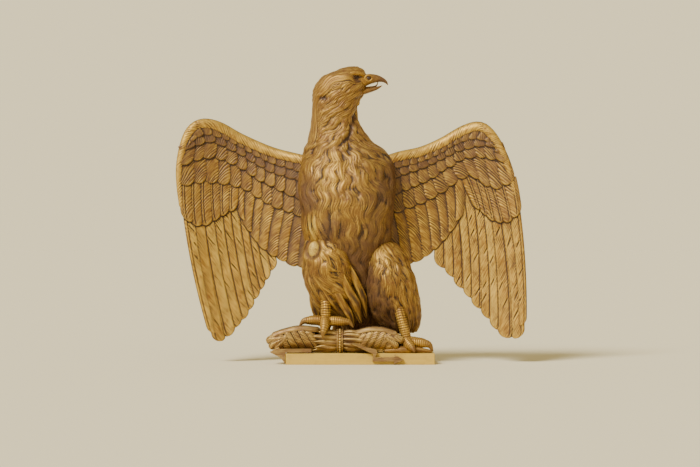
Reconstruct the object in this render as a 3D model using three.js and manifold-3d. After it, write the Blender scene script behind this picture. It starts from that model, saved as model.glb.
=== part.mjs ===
// A carved and gilded eagle with half-spread wings, standing on a winged thunderbolt
// that lies on a plain block plinth.
// Millimetres. The origin is the middle of the plinth's underside. +X runs to the right seen from the front,
// +Y runs to the back and +Z is up. The head is turned to look along +X.
import * as THREE from "three";
import { mergeVertices } from "three/addons/utils/BufferGeometryUtils.js";
import Module from "manifold-3d";

const wasm = await Module();
wasm.setup();

// Driving dimensions
const GAP = 0.3; // clearance between separate pieces
const PLINTH = { halfWidth: 146.5, halfDepth: 80, height: 22 };
const FRONT = -1; // sign of the way out of a front face, along Y
const MERGE = { wing: 0.3, piece: 0.05 }; // how far a face may move as slivers are merged into it
const SOURCE_GOLD = 0xc08f3c;
const SOURCE_PAINT = 0xcdb878;

// Wings. Curves run from the shoulder outwards and are [x, z] in the front view.
const LEFT_WING = {
  side: -1,
  shoulderX: -96,
  span: 275,
  leadingEdge: [
    [-84, 396], [-128, 406], [-180, 420], [-240, 446], [-284, 470], [-316, 476],
    [-338, 462], [-352, 430], [-360, 390], [-360, 350], [-356, 316],
  ],
  lesserTips: [[-90, 352], [-176, 379], [-240, 415], [-298, 439], [-352, 423]],
  medianTips: [[-90, 314], [-176, 349], [-240, 387], [-298, 409], [-357, 392]],
  greaterTips: [[-90, 282], [-176, 312], [-238, 348], [-298, 359], [-357, 352]],
  primaryCovertTips: [[-246, 306], [-270, 296], [-296, 281], [-326, 272], [-352, 288]],
  secondaryTips: [[-104, 185], [-152, 199], [-196, 229], [-224, 262], [-240, 297]],
  primaryTips: [[-168, 196], [-194, 153], [-226, 97], [-252, 63], [-282, 42], [-300, 68]],
};
const RIGHT_WING = {
  side: 1,
  shoulderX: 52,
  span: 275,
  leadingEdge: [
    [40, 396], [80, 410], [124, 420], [166, 438], [210, 463], [240, 470],
    [262, 454], [284, 418], [298, 380], [308, 340], [312, 308],
  ],
  lesserTips: [[46, 362], [128, 389], [192, 419], [244, 433], [288, 424]],
  medianTips: [[46, 329], [124, 357], [180, 390], [226, 410], [296, 400]],
  greaterTips: [[46, 290], [116, 315], [172, 343], [218, 372], [266, 346], [309, 360]],
  primaryCovertTips: [[232, 312], [250, 295], [276, 280], [302, 282], [318, 298]],
  secondaryTips: [[60, 204], [100, 197], [142, 217], [180, 257], [206, 297]],
  primaryTips: [[152, 199], [190, 162], [240, 103], [284, 54], [314, 48], [329, 90]],
};
// Feather rows, from the front down. A row lies between two curves, with the feathers' roots on one and their
// tips on the other. face is how far the tips stand out of the wing's middle, rootFace how far the roots do,
// and back how far the plainer back does. tuck is how far the roots run in under the row above.
// from and to are the stretch of the roots' curve that a row takes.
const WING_ROWS = [
  {
    tips: "lesserTips", roots: "leadingEdge", count: 7, face: 12.5, rootFace: 8, back: 8,
    tuck: -3, rootShare: 0.75,
  },
  { tips: "medianTips", roots: "lesserTips", count: 7, face: 10.5, rootFace: 7, back: 7, tuck: 14 },
  { tips: "greaterTips", roots: "medianTips", count: 7, face: 9, rootFace: 6, back: 6, tuck: 14 },
  {
    tips: "primaryCovertTips", roots: "greaterTips", count: 4, face: 8, rootFace: 5.5, back: 5.5,
    tuck: 14, from: 0.6,
  },
  {
    tips: "secondaryTips", roots: "greaterTips", count: 8, face: 7.4, rootFace: 5.5, back: 5.5,
    tuck: 14, to: 0.62,
  },
  {
    tips: "primaryTips", roots: "greaterTips", count: 9, face: 5.6, rootFace: 4.6, back: 3.8,
    tuck: 8, from: 0.36,
  },
];
// A wing's middle starts behind the body's middle, bows back, and comes forward at the hand and at the tips.
const WING_DEPTH = {
  shoulder: 16, sweepBack: 20, handForward: 14, tipCurl: 16, curlFrom: 350, curlHeight: 300,
};
// A feather's width over the spacing, its low edge's share of the face, and its round end as shares of its width.
const FEATHER = { overlap: 1.24, lowEdge: 0.5, roundFrom: 0.42, endWidth: 0.46 };
const WEB = { half: 2.5, steps: 6, edgeReach: 0.84 };
const LEADING_ROLL = { radius: 13, endRadius: 6, sides: 6, steps: 10 };

// Body and head: each level's height, then the centre x, centre y, half width and half depth of its section.
const TORSO_LEVELS = [
  [46, 4, 46, 26, 12], [84, 3, 40, 40, 26], [130, -4, 30, 50, 38], [190, -16, 14, 62, 54],
  [250, -25, -2, 78, 68], [310, -26, -8, 85, 76], [365, -26, -4, 87, 72], [405, -27, 2, 80, 60],
  [440, -42, 4, 58, 46], [475, -50, 2, 43, 38], [510, -51, -2, 39, 35],
  [545, -43, -4, 45, 33], [568, -31, -4, 40, 28], [582, -17, -4, 21, 16], [587, -14, -4, 7, 5],
];
const TORSO_PLUMAGE = { sides: 18, lowest: 84, highest: 530, row: 40, notch: 0.3, lift: 5, sink: 4 };
const LEFT_THIGH_LEVELS = [
  [74, -36, 2, 16, 14], [105, -44, -8, 32, 22], [135, -54, -22, 38, 30], [165, -62, -30, 41, 37],
  [200, -66, -34, 40, 41], [235, -66, -28, 36, 36], [264, -60, -14, 16, 18],
];
const RIGHT_THIGH_LEVELS = [
  [62, 88, 8, 20, 14], [82, 80, -2, 34, 22], [112, 70, -16, 43, 28], [145, 64, -28, 42, 35],
  [180, 60, -32, 37, 39], [215, 52, -22, 28, 32], [250, 40, -4, 10, 14],
];
// The long plumes that hang behind each thigh.
const LEFT_PLUME = {
  line: [[-72, -8, 200], [-86, -4, 150], [-88, 2, 108], [-80, 8, 74]],
  radii: [4, 16, 12, 3],
};
const RIGHT_PLUME = {
  line: [[72, -10, 180], [92, -2, 130], [99, 4, 92], [96, 8, 58]],
  radii: [4, 18, 15, 4],
};
// The smooth oval at the left knee.
const KNEE_SPOT = { at: [-91, -58, 224], radii: [10, 9, 16] };

const LEFT_THIGH_PLUMAGE = { sides: 10, lowest: 96, highest: 232, row: 32, notch: 0.3, lift: 4, sink: 3 };
const RIGHT_THIGH_PLUMAGE = { sides: 10, lowest: 80, highest: 216, row: 32, notch: 0.3, lift: 4, sink: 3 };
const TWIST = { from: 390, to: 480, slant: 0.8 }; // the neck's locks slant as the head turns

// Tail
const TAIL = {
  feathers: 7, rootZ: 170, rootY: 46, tipZ: 25, tipY: 66, rootHalf: 34, tipHalf: 62, centreX: 2,
  thickness: 15, arch: 9, sideRise: 14, overlap: 1.3,
};

// Head details. The beak's sections are [x, centre z, half height, half width].
const UPPER_BEAK = [
  [-20, 562, 15, 20], [6, 563, 13, 16], [20, 566.5, 10.5, 12.5], [34, 567.5, 7.5, 9.5],
  [45, 565, 4.6, 6], [52, 560.5, 2.8, 3.6],
];
const BEAK_TIP = [56, -4, 554.5];
const LOWER_BEAK = [[-22, 534, 8, 15], [6, 540.5, 5.6, 11], [20, 544, 4.4, 8.5], [34, 548.5, 3.2, 6]];
const LOWER_TIP = [44.5, -4, 553.5];
const BEAK_SIDES = 6;
const TONGUE = { line: [[-14, -4, 545], [18, -4, 549], [32, -4, 553], [36, -4, 561]], radii: [5, 4, 3, 1] };
const GAPE = { at: [-12, -4, 541], radii: [14, 20, 10] };
const EYE = { x: -7, z: 568, y: 19, radius: 6.5 };
const BROW = { line: [[-34, 22, 571], [-18, 22, 576], [-2, 18, 577], [8, 12, 572]], radii: [3, 5, 5, 3] };

// Legs and feet. Toes are lines of points and radii, the last point being the claw's tip.
const SHANK = { ringCount: 4, sides: 6, radius: 8, ringRadius: 9.8 };
const LEFT_SHANK = [[-72, -34, 152], [-68, -48, 118], [-68, -48, 84]];
const RIGHT_SHANK = [[72, -30, 140], [80, -48, 96], [92, -48, 50]];
const TOE = { radii: [8, 8.4, 8.6, 5.4, 1], sides: 5, steps: 5 };
const LEFT_TOES = [
  [[-68, -47, 82], [-84, -48, 86], [-101, -49, 86], [-112, -51, 84], [-121, -53, 74]],
  [[-68, -47, 82], [-69, -62, 84], [-71, -75, 72], [-73, -78, 62], [-74, -76, 51]],
  [[-68, -47, 82], [-52, -50, 85], [-34, -51, 84], [-22, -51, 82], [-13, -52, 72]],
  [[-68, -44, 82], [-67, -28, 82], [-66, -16, 74], [-66, -8, 66], [-66, -4, 54]],
];
const RIGHT_TOES = [
  [[92, -48, 46], [108, -51, 43], [126, -53, 41], [137, -54, 37], [144, -55, 25]],
  [[92, -48, 46], [96, -60, 40], [102, -68, 33], [105, -72, 29], [107, -74, 24]],
  [[92, -48, 46], [84, -34, 38], [76, -22, 34], [72, -14, 31], [70, -8, 24]],
  [[92, -44, 46], [100, -30, 38], [106, -18, 34], [110, -10, 31], [112, -4, 24]],
];
// The long smooth pad that the right foot stands on.
const FOOT_PAD = {
  line: [[48, -60, 26], [80, -58, 28], [112, -57, 28], [142, -56, 25]],
  radii: [3, 8, 6.5, 2.5],
};

// Thunderbolt
const BUNDLE = {
  y: -46, z: 45.5, tieX: -40, tieHalf: 6.5, tieRadius: 22.5,
  flames: 8, flameLength: 12, fluteShare: 0.78, twist: 1.1,
  flare: [[0, 17], [10, 21], [34, 22.5], [50, 21]],
};
const LEFT_BOLT_WING = {
  armLine: [[-84, 64], [-120, 66], [-150, 60], [-172, 53]],
  tipLine: [[-86, 42], [-118, 35], [-150, 31], [-174, 28]],
  end: [[-160, 56], [-184, 38]],
};
const RIGHT_BOLT_WING = {
  armLine: [[-8, 58], [20, 65], [46, 64], [68, 58]],
  tipLine: [[-8, 40], [20, 33], [44, 29], [68, 33]],
  end: [[60, 58], [82, 42]],
};
const BOLT_WING = { feathers: 5, halfDepth: 25, slant: 16, armRadius: 10, armDepth: 24 };
// The lightning arrows, as outlines in the front view.
const RIGHT_ARROW = [
  [-20, 42], [32, 30], [34, 24], [30, 15], [66, 15], [68, 20],
  [86, 9.5], [66, 1], [66, 6.5], [24, 6.5], [26, 21],
];
const LEFT_ARROW = [
  [-96, 31], [-158, 31], [-160, 35], [-178, 24.5],
  [-158, 15], [-147, 1.5], [-147, 24], [-96, 24],
];
const ARROW = { depth: 8, bundleDepth: 24 };

// Solid helpers

function toSolid(geometry) {
  const bare = new THREE.BufferGeometry().setAttribute("position", geometry.getAttribute("position"));
  if (geometry.index) bare.setIndex(geometry.index);
  const merged = mergeVertices(bare, 1e-4);
  const solid = new wasm.Manifold(
    new wasm.Mesh({
      numProp: 3,
      vertProperties: new Float32Array(merged.attributes.position.array),
      triVerts: new Uint32Array(merged.index.array),
    }),
  );
  return solid;
}

function toGeometry(solid) {
  const mesh = solid.getMesh();
  const points = new Float32Array(mesh.numVert * 3);
  for (let i = 0; i < mesh.numVert; i++)
    for (let k = 0; k < 3; k++) points[3 * i + k] = mesh.vertProperties[i * mesh.numProp + k];
  const geometry = new THREE.BufferGeometry().setAttribute("position", new THREE.BufferAttribute(points, 3));
  geometry.setIndex(Array.from(mesh.triVerts));
  return geometry;
}

function unite(solids) {
  return solids.reduce((sum, solid) => sum.add(solid));
}

// A closed skin over rings of equal length, with its faces turned outwards.
// Fans cap its ends, the last one reaching out to a point where that is given.
function skin(rings, lastPoint) {
  const sides = rings[0].length;
  const points = rings.flat();
  const faces = [];
  for (let r = 0; r + 1 < rings.length; r++)
    for (let s = 0; s < sides; s++) {
      const a = r * sides + s;
      const b = r * sides + ((s + 1) % sides);
      faces.push([a, b, a + sides], [b, b + sides, a + sides]);
    }
  const middle = (ring) => ring.reduce((sum, p) => sum.add(p), new THREE.Vector3()).divideScalar(sides);
  const fan = (centre, start, flip) => {
    const hub = points.push(centre) - 1;
    for (let s = 0; s < sides; s++) {
      const edge = [start + s, start + ((s + 1) % sides)];
      faces.push(flip ? [edge[1], edge[0], hub] : [edge[0], edge[1], hub]);
    }
  };
  fan(middle(rings[0]), 0, true);
  fan(lastPoint ?? middle(rings.at(-1)), (rings.length - 1) * sides, false);
  let volume = 0;
  for (const [a, b, c] of faces) volume += points[a].dot(points[b].clone().cross(points[c]));
  if (volume < 0) faces.forEach((face) => face.reverse());
  const geometry = new THREE.BufferGeometry().setFromPoints(points);
  geometry.setIndex(faces.flat());
  return toSolid(geometry);
}

const vector = (point) => new THREE.Vector3(...point);

// A curve through [x, z] points of the front view, at depth zero.
const frontCurve = (points) => new THREE.CatmullRomCurve3(points.map(([x, z]) => new THREE.Vector3(x, 0, z)));

// A round bar along a smooth line through points, with a radius at each point.
function bar(line, radii, sides, steps) {
  const curve = new THREE.CatmullRomCurve3(line.map(vector));
  const frames = curve.computeFrenetFrames(steps, false);
  const rings = [];
  for (let i = 0; i <= steps; i++) {
    const centre = curve.getPoint(i / steps);
    const place = (i / steps) * (radii.length - 1);
    const low = Math.min(Math.floor(place), radii.length - 2);
    const radius = THREE.MathUtils.lerp(radii[low], radii[low + 1], place - low);
    rings.push(ring(centre, frames.normals[i], frames.binormals[i], radius, radius, sides));
  }
  return skin(rings);
}

function ring(centre, across, up, halfAcross, halfUp, sides) {
  return Array.from({ length: sides }, (_, s) => {
    const angle = (2 * Math.PI * s) / sides;
    return centre
      .clone()
      .addScaledVector(across, halfAcross * Math.cos(angle))
      .addScaledVector(up, halfUp * Math.sin(angle));
  });
}

function ball([x, y, z], [rx, ry, rz]) {
  return toSolid(new THREE.SphereGeometry(1, 7, 4).scale(rx, ry, rz).translate(x, y, z));
}

function extrudedOutline(points, front, depth) {
  const shape = new THREE.Shape(points.map(([x, z]) => new THREE.Vector2(x, z)));
  const geometry = new THREE.ExtrudeGeometry(shape, { depth, bevelEnabled: false });
  // The shape's plane is turned to stand in X and Z, and its depth then runs to the front.
  return toSolid(geometry.rotateX(Math.PI / 2).translate(0, front + depth, 0));
}

// Wing

// How far back the middle of a wing lies, at a place in the front view.
function wingDepth(wing, x, z) {
  const out = THREE.MathUtils.clamp((wing.side * (x - wing.shoulderX)) / wing.span, 0, 1);
  const down = Math.max(0, (WING_DEPTH.curlFrom - z) / WING_DEPTH.curlHeight);
  return (
    WING_DEPTH.shoulder +
    WING_DEPTH.sweepBack * Math.sin(Math.PI * out) -
    WING_DEPTH.handForward * out * out -
    WING_DEPTH.tipCurl * out * down * down
  );
}

// One feather: a flat slat with a round end, whose inner edge stands higher than its outer edge.
function slat(root, tip, rootWidth, tipWidth, row, inward) {
  const along = tip.clone().sub(root);
  const length = along.length();
  along.normalize();
  const across = new THREE.Vector3(-along.z, 0, along.x);
  if (across.dot(inward) < 0) across.negate();
  const stations = [
    [0, rootWidth / 2],
    [length - FEATHER.roundFrom * tipWidth, tipWidth / 2],
    [length, (FEATHER.endWidth * tipWidth) / 2],
  ];
  const rings = stations.map(([distance, halfWidth]) => {
    const centre = root.clone().addScaledVector(along, distance);
    const half = THREE.MathUtils.lerp(row.rootFace, row.face, distance / length);
    const inner = centre.clone().addScaledVector(across, halfWidth);
    const outer = centre.clone().addScaledVector(across, -halfWidth);
    return [
      new THREE.Vector3(inner.x, FRONT * half, inner.z),
      new THREE.Vector3(outer.x, FRONT * half * FEATHER.lowEdge, outer.z),
      new THREE.Vector3(outer.x, row.back, outer.z),
      new THREE.Vector3(inner.x, row.back, inner.z),
    ];
  });
  return skin(rings);
}

// A row's feathers run from a line of roots, tucked under the row above, to the line of their tips.
function featherRow(wing, row) {
  const tips = frontCurve(wing[row.tips]);
  const roots = frontCurve(wing[row.roots]);
  const from = row.from ?? 0;
  const to = row.to ?? 1;
  const pairs = Array.from({ length: row.count }, (_, i) => {
    const share = (i + 0.5) / row.count;
    const tip = tips.getPointAt(share);
    const root = roots.getPointAt(from + (to - from) * share);
    const back = root.clone().sub(tip).setLength(row.tuck);
    return { root: root.add(back), tip };
  });
  return pairs.map(({ root, tip }, i) => {
    const near = pairs[Math.max(i - 1, 0)];
    const far = pairs[Math.min(i + 1, row.count - 1)];
    const gaps = far === near ? 1 : (i > 0) + (i < row.count - 1);
    const along = tip.clone().sub(root).normalize();
    const spacing = (key) => far[key].clone().sub(near[key]).cross(along).length() / gaps;
    const inward = new THREE.Vector3(-wing.side, 0, 0);
    const rootWidth = FEATHER.overlap * spacing("root") * (row.rootShare ?? 1);
    return slat(root, tip, rootWidth, FEATHER.overlap * spacing("tip"), row, inward);
  });
}

// The thin web of the wing, under the rolled leading edge and the covert feathers.
function web(wing) {
  const edge = frontCurve(wing.leadingEdge);
  const tips = frontCurve(wing.greaterTips);
  const rings = Array.from({ length: WEB.steps + 1 }, (_, i) => {
    const a = edge.getPointAt((WEB.edgeReach * i) / WEB.steps);
    const b = tips.getPointAt(i / WEB.steps);
    return [
      new THREE.Vector3(a.x, -WEB.half, a.z),
      new THREE.Vector3(b.x, -WEB.half, b.z),
      new THREE.Vector3(b.x, WEB.half, b.z),
      new THREE.Vector3(a.x, WEB.half, a.z),
    ];
  });
  return skin(rings);
}

function wingSolid(wing) {
  const { radius, endRadius, sides, steps } = LEADING_ROLL;
  const edge = wing.leadingEdge.map(([x, z]) => [x, 0, z]);
  const roll = bar(edge, [radius, radius, endRadius], sides, steps);
  const flat = unite([roll, web(wing), ...WING_ROWS.flatMap((row) => featherRow(wing, row))]);
  const geometry = toGeometry(flat.simplify(MERGE.wing));
  const position = geometry.getAttribute("position");
  for (let i = 0; i < position.count; i++)
    position.setY(i, position.getY(i) + wingDepth(wing, position.getX(i), position.getZ(i)));
  return toSolid(geometry);
}

// Body

// The section of a form at a height, from its table of levels: centre x, centre y, half width and half depth.
function sectionAt(levels, z) {
  const top = levels.length - 1;
  let k = 0;
  while (k < top - 1 && levels[k + 1][0] < z) k++;
  const share = THREE.MathUtils.clamp((z - levels[k][0]) / (levels[k + 1][0] - levels[k][0]), 0, 1);
  const before = levels[Math.max(k - 1, 0)];
  const after = levels[Math.min(k + 2, top)];
  return [1, 2, 3, 4].map((i) => catmullRom(before[i], levels[k][i], levels[k + 1][i], after[i], share));
}

// A smooth curve through b and c, with a before them and d after.
function catmullRom(a, b, c, d, t) {
  const linear = (c - a) * t;
  const square = (2 * a - 5 * b + 4 * c - d) * t ** 2;
  const cube = (3 * b - a - 3 * c + d) * t ** 3;
  return b + (linear + square + cube) / 2;
}

function sectionPoint(levels, angle, z, grow = 0) {
  const [centreX, centreY, halfWidth, halfDepth] = sectionAt(levels, z);
  const x = centreX + (halfWidth + grow) * Math.cos(angle);
  const y = centreY + (halfDepth + grow) * Math.sin(angle);
  return new THREE.Vector3(x, y, z);
}

// A form clothed in locks: each row of locks ends in a zigzag rim that overhangs the row below it.
// The columns of locks turn round the form by the slant, which is sideways travel over height.
function plumedForm(levels, plumage, slant) {
  const { sides, lowest, highest, row, notch, lift, sink } = plumage;
  const low = levels[0][0];
  const high = levels.at(-1)[0];
  const rows = Math.round((highest - lowest) / row);
  let turn = 0;
  const ringAt = (z, grow, zigzag, phase) =>
    Array.from({ length: sides }, (_, s) => {
      const tip = (s + phase) % 2 === 0;
      const height = THREE.MathUtils.clamp(z + (tip ? -zigzag : zigzag), low, high);
      return sectionPoint(levels, (2 * Math.PI * s) / sides + turn, height, tip ? grow : Math.min(grow, 0));
    });
  const rings = [ringAt(low, 0, 0, 0)];
  for (let k = 0; k <= rows; k++) {
    const z = THREE.MathUtils.lerp(lowest, highest, k / rows);
    const size = Math.min(1, sectionAt(levels, z)[2] / sectionAt(levels, lowest + row * 3)[2]);
    rings.push(ringAt(z, -sink * size, notch * row, k));
    rings.push(ringAt(z - 2, lift * size, notch * row, k));
    turn += (slant(z) * row) / sectionAt(levels, z)[2];
  }
  const crownRows = Math.ceil((high - highest) / row) + 1;
  for (let k = 1; k <= crownRows; k++) {
    const z = THREE.MathUtils.lerp(highest + notch * row, high, k / crownRows);
    rings.push(ringAt(z, 0, 0, 0));
  }
  return skin(rings);
}

const neckSlant = (z) => TWIST.slant * THREE.MathUtils.smoothstep(z, TWIST.from, TWIST.to);

function beakPart(sections, tip) {
  const across = new THREE.Vector3(0, 1, 0);
  const up = new THREE.Vector3(0, 0, 1);
  const rings = sections.map(([x, z, halfHeight, halfWidth]) =>
    ring(new THREE.Vector3(x, tip[1], z), across, up, halfWidth, halfHeight, BEAK_SIDES),
  );
  return skin(rings, vector(tip));
}

function headDetails() {
  const parts = [
    beakPart(UPPER_BEAK, BEAK_TIP),
    beakPart(LOWER_BEAK, LOWER_TIP),
    bar(TONGUE.line, TONGUE.radii, 4, 4),
    ball(GAPE.at, GAPE.radii),
  ];
  for (const side of [-1, 1]) {
    parts.push(ball([EYE.x, BEAK_TIP[1] + side * EYE.y, EYE.z], [EYE.radius, EYE.radius, EYE.radius]));
    const line = BROW.line.map(([x, y, z]) => [x, BEAK_TIP[1] + side * y, z]);
    parts.push(bar(line, BROW.radii, 5, 4));
  }
  return parts;
}

// Tail feathers hang from the vent to just above the plinth, behind the thunderbolt.
// Each is ridged along its middle.
function tailFeathers() {
  const { feathers, rootZ, rootY, tipZ, tipY, rootHalf, tipHalf, centreX, thickness, arch, sideRise } = TAIL;
  const stations = [[0, rootHalf], [0.92, tipHalf], [1, 0.45 * tipHalf]];
  return Array.from({ length: feathers }, (_, i) => {
    const share = (2 * (i + 0.5)) / feathers - 1;
    const root = new THREE.Vector3(centreX + share * rootHalf, rootY, rootZ);
    const middleness = 1 - share * share;
    const tip = new THREE.Vector3(
      centreX + share * tipHalf,
      tipY + arch * middleness,
      tipZ + sideRise * (1 - middleness),
    );
    const rings = stations.map(([t, spread]) => {
      const half = (TAIL.overlap * spread) / feathers;
      const centre = root.clone().lerp(tip, t);
      return [
        new THREE.Vector3(centre.x - half, centre.y, centre.z),
        new THREE.Vector3(centre.x, centre.y - thickness / 2, centre.z),
        new THREE.Vector3(centre.x + half, centre.y, centre.z),
        new THREE.Vector3(centre.x, centre.y + thickness / 2, centre.z),
      ];
    });
    return skin(rings);
  });
}

// Feet

function shank(line, grow) {
  const steps = 2 * SHANK.ringCount;
  const radii = Array.from({ length: steps + 1 }, (_, i) => grow + (i % 2 ? SHANK.ringRadius : SHANK.radius));
  return bar(line, radii, SHANK.sides, steps);
}

function toe(line, grow) {
  return bar(line, TOE.radii.map((r) => r + grow), TOE.sides, TOE.steps);
}

function leftFoot(grow) {
  return unite([shank(LEFT_SHANK, grow), ...LEFT_TOES.map((line) => toe(line, grow))]);
}

function rightFoot(grow) {
  const pad = bar(FOOT_PAD.line, FOOT_PAD.radii.map((r) => r + grow), 6, 5);
  return unite([shank(RIGHT_SHANK, grow), pad, ...RIGHT_TOES.map((line) => toe(line, grow))]);
}

function eagleSolid() {
  const body = [
    plumedForm(TORSO_LEVELS, TORSO_PLUMAGE, neckSlant),
    plumedForm(LEFT_THIGH_LEVELS, LEFT_THIGH_PLUMAGE, () => 0.4),
    plumedForm(RIGHT_THIGH_LEVELS, RIGHT_THIGH_PLUMAGE, () => -0.2),
    bar(LEFT_PLUME.line, LEFT_PLUME.radii, 6, 3),
    bar(RIGHT_PLUME.line, RIGHT_PLUME.radii, 6, 3),
    ball(KNEE_SPOT.at, KNEE_SPOT.radii),
  ];
  const whole = unite([
    ...body, ...headDetails(), ...tailFeathers(),
    leftFoot(0), rightFoot(0), wingSolid(LEFT_WING), wingSolid(RIGHT_WING),
  ]);
  return whole.subtract(plinthBlock(GAP));
}

// Thunderbolt

// Half of the bundle of flames: a twisting fluted cone that ends in points.
function flare(side) {
  const { y, z, tieX, flameLength, flames, fluteShare, twist, flare: profile } = BUNDLE;
  const end = profile.at(-1);
  const stations = [...profile, [end[0] + flameLength / 2, end[1]]];
  const rings = stations.map(([out, radius], k) =>
    Array.from({ length: 2 * flames }, (_, s) => {
      const crest = s % 2 === 0;
      const angle = (Math.PI * s) / flames + (side * twist * out) / end[0];
      const reach = k === stations.length - 1 && crest ? flameLength / 2 : 0;
      const r = crest ? radius : radius * fluteShare;
      return new THREE.Vector3(tieX + side * (out + reach), y + r * Math.cos(angle), z + r * Math.sin(angle));
    }),
  );
  return skin(rings);
}

function boltWing(plan) {
  const arms = frontCurve(plan.armLine);
  const tips = frontCurve(plan.tipLine);
  const { feathers, halfDepth, armRadius, armDepth } = BOLT_WING;
  const outward = new THREE.Vector3(Math.sign(plan.end[1][0] - plan.armLine[0][0]), 0, 0);
  const row = { rootFace: halfDepth - 4, face: halfDepth, back: halfDepth };
  const slats = Array.from({ length: feathers }, (_, i) => {
    const share = (i + 0.5) / feathers;
    const root = arms.getPointAt(share);
    const tip = tips.getPointAt(share).addScaledVector(outward, -BOLT_WING.slant / 2);
    root.addScaledVector(outward, BOLT_WING.slant / 2);
    return slat(root, tip, 18, 18, row, outward);
  });
  const [endRoot, endTip] = plan.end.map(([x, z]) => new THREE.Vector3(x, 0, z));
  slats.push(slat(endRoot, endTip, 24, 20, row, outward));
  const arm = bar(plan.armLine.map(([x, z]) => [x, 0, z]), [armRadius, armRadius, 0.6 * armRadius], 6, 4);
  const armSolid = toSolid(toGeometry(arm).scale(1, armDepth / armRadius, 1));
  return toSolid(toGeometry(unite([armSolid, ...slats])).translate(0, BUNDLE.y, 0));
}

function thunderboltSolid() {
  const { y, z, tieX, tieHalf, tieRadius } = BUNDLE;
  const band = new THREE.CylinderGeometry(tieRadius, tieRadius, 2 * tieHalf, 12);
  const tie = toSolid(band.rotateZ(Math.PI / 2).translate(tieX, y, z));
  const pieces = [tie, flare(-1), flare(1), boltWing(LEFT_BOLT_WING), boltWing(RIGHT_BOLT_WING)];
  const frontY = FRONT * (PLINTH.halfDepth + ARROW.depth);
  pieces.push(extrudedOutline(RIGHT_ARROW, frontY, ARROW.depth + ARROW.bundleDepth));
  pieces.push(extrudedOutline(LEFT_ARROW, FRONT * PLINTH.halfDepth, ARROW.bundleDepth));
  return unite(pieces)
    .subtract(plinthBlock(GAP))
    .subtract(leftFoot(GAP))
    .subtract(rightFoot(GAP));
}

// Plinth

function plinthBlock(grow) {
  const { halfWidth, halfDepth, height } = PLINTH;
  const box = new THREE.BoxGeometry(2 * (halfWidth + grow), 2 * (halfDepth + grow), height + 2 * grow);
  return toSolid(box.translate(0, 0, height / 2));
}

function piece(name, solid, color, roughness, metalness) {
  const geometry = toGeometry(solid.simplify(MERGE.piece));
  geometry.computeVertexNormals();
  const material = new THREE.MeshStandardMaterial({ color, roughness, metalness, flatShading: true });
  const mesh = new THREE.Mesh(geometry, material);
  mesh.name = name;
  return mesh;
}

const eagleCarving = new THREE.Group();
eagleCarving.add(
  piece("eagle", eagleSolid(), SOURCE_GOLD, 0.45, 0.6),
  piece("thunderbolt", thunderboltSolid(), SOURCE_GOLD, 0.45, 0.6),
  piece("plinth", plinthBlock(0), SOURCE_PAINT, 0.7, 0),
);
export default eagleCarving;
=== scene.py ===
# A carved and gilded eagle with half-spread wings, on a winged thunderbolt and a plain block plinth.
import math

import bmesh
import bpy
import numpy as np
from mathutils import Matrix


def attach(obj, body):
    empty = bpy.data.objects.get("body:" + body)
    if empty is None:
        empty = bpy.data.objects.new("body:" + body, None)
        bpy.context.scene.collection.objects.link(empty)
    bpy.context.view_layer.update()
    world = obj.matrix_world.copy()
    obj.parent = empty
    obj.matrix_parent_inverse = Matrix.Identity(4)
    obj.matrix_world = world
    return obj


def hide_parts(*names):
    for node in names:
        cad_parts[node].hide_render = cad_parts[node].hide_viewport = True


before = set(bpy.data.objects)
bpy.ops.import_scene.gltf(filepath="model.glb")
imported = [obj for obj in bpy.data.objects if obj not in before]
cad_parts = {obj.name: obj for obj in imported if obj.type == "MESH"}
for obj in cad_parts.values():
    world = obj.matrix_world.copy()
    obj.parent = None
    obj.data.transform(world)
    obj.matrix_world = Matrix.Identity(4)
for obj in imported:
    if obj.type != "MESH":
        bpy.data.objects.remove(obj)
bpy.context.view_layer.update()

MM = 0.001
COARSE = 1.0
RNG = np.random.default_rng(11)

# Driving sizes, in millimetres, as the solids have them. +X is to the right, +Y to the back, +Z up.
PLINTH = dict(half_width=146.5, half_depth=80.0, height=22.0)
MIDLINE_Y = -4.0

LEFT_WING = dict(
    side=-1, shoulder_x=-96, span=275,
    leading_edge=[(-84, 396), (-128, 406), (-180, 420), (-240, 446), (-284, 470), (-316, 476),
                  (-338, 462), (-352, 430), (-360, 390), (-360, 350), (-356, 316)],
    lesser=[(-90, 352), (-176, 379), (-240, 415), (-298, 439), (-352, 423)],
    median=[(-90, 314), (-176, 349), (-240, 387), (-298, 409), (-357, 392)],
    greater=[(-90, 282), (-176, 312), (-238, 348), (-298, 359), (-357, 352)],
    primary_coverts=[(-246, 306), (-270, 296), (-296, 281), (-326, 272), (-352, 288)],
    secondaries=[(-104, 185), (-152, 199), (-196, 229), (-224, 262), (-240, 297)],
    primaries=[(-168, 196), (-194, 153), (-226, 97), (-252, 63), (-282, 42), (-300, 68)],
)
RIGHT_WING = dict(
    side=1, shoulder_x=52, span=275,
    leading_edge=[(40, 396), (80, 410), (124, 420), (166, 438), (210, 463), (240, 470),
                  (262, 454), (284, 418), (298, 380), (308, 340), (312, 308)],
    lesser=[(46, 362), (128, 389), (192, 419), (244, 433), (288, 424)],
    median=[(46, 329), (124, 357), (180, 390), (226, 410), (296, 400)],
    greater=[(46, 290), (116, 315), (172, 343), (218, 372), (266, 346), (309, 360)],
    primary_coverts=[(232, 312), (250, 295), (276, 280), (302, 282), (318, 298)],
    secondaries=[(60, 204), (100, 197), (142, 217), (180, 257), (206, 297)],
    primaries=[(152, 199), (190, 162), (240, 103), (284, 54), (314, 48), (329, 90)],
)
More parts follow.
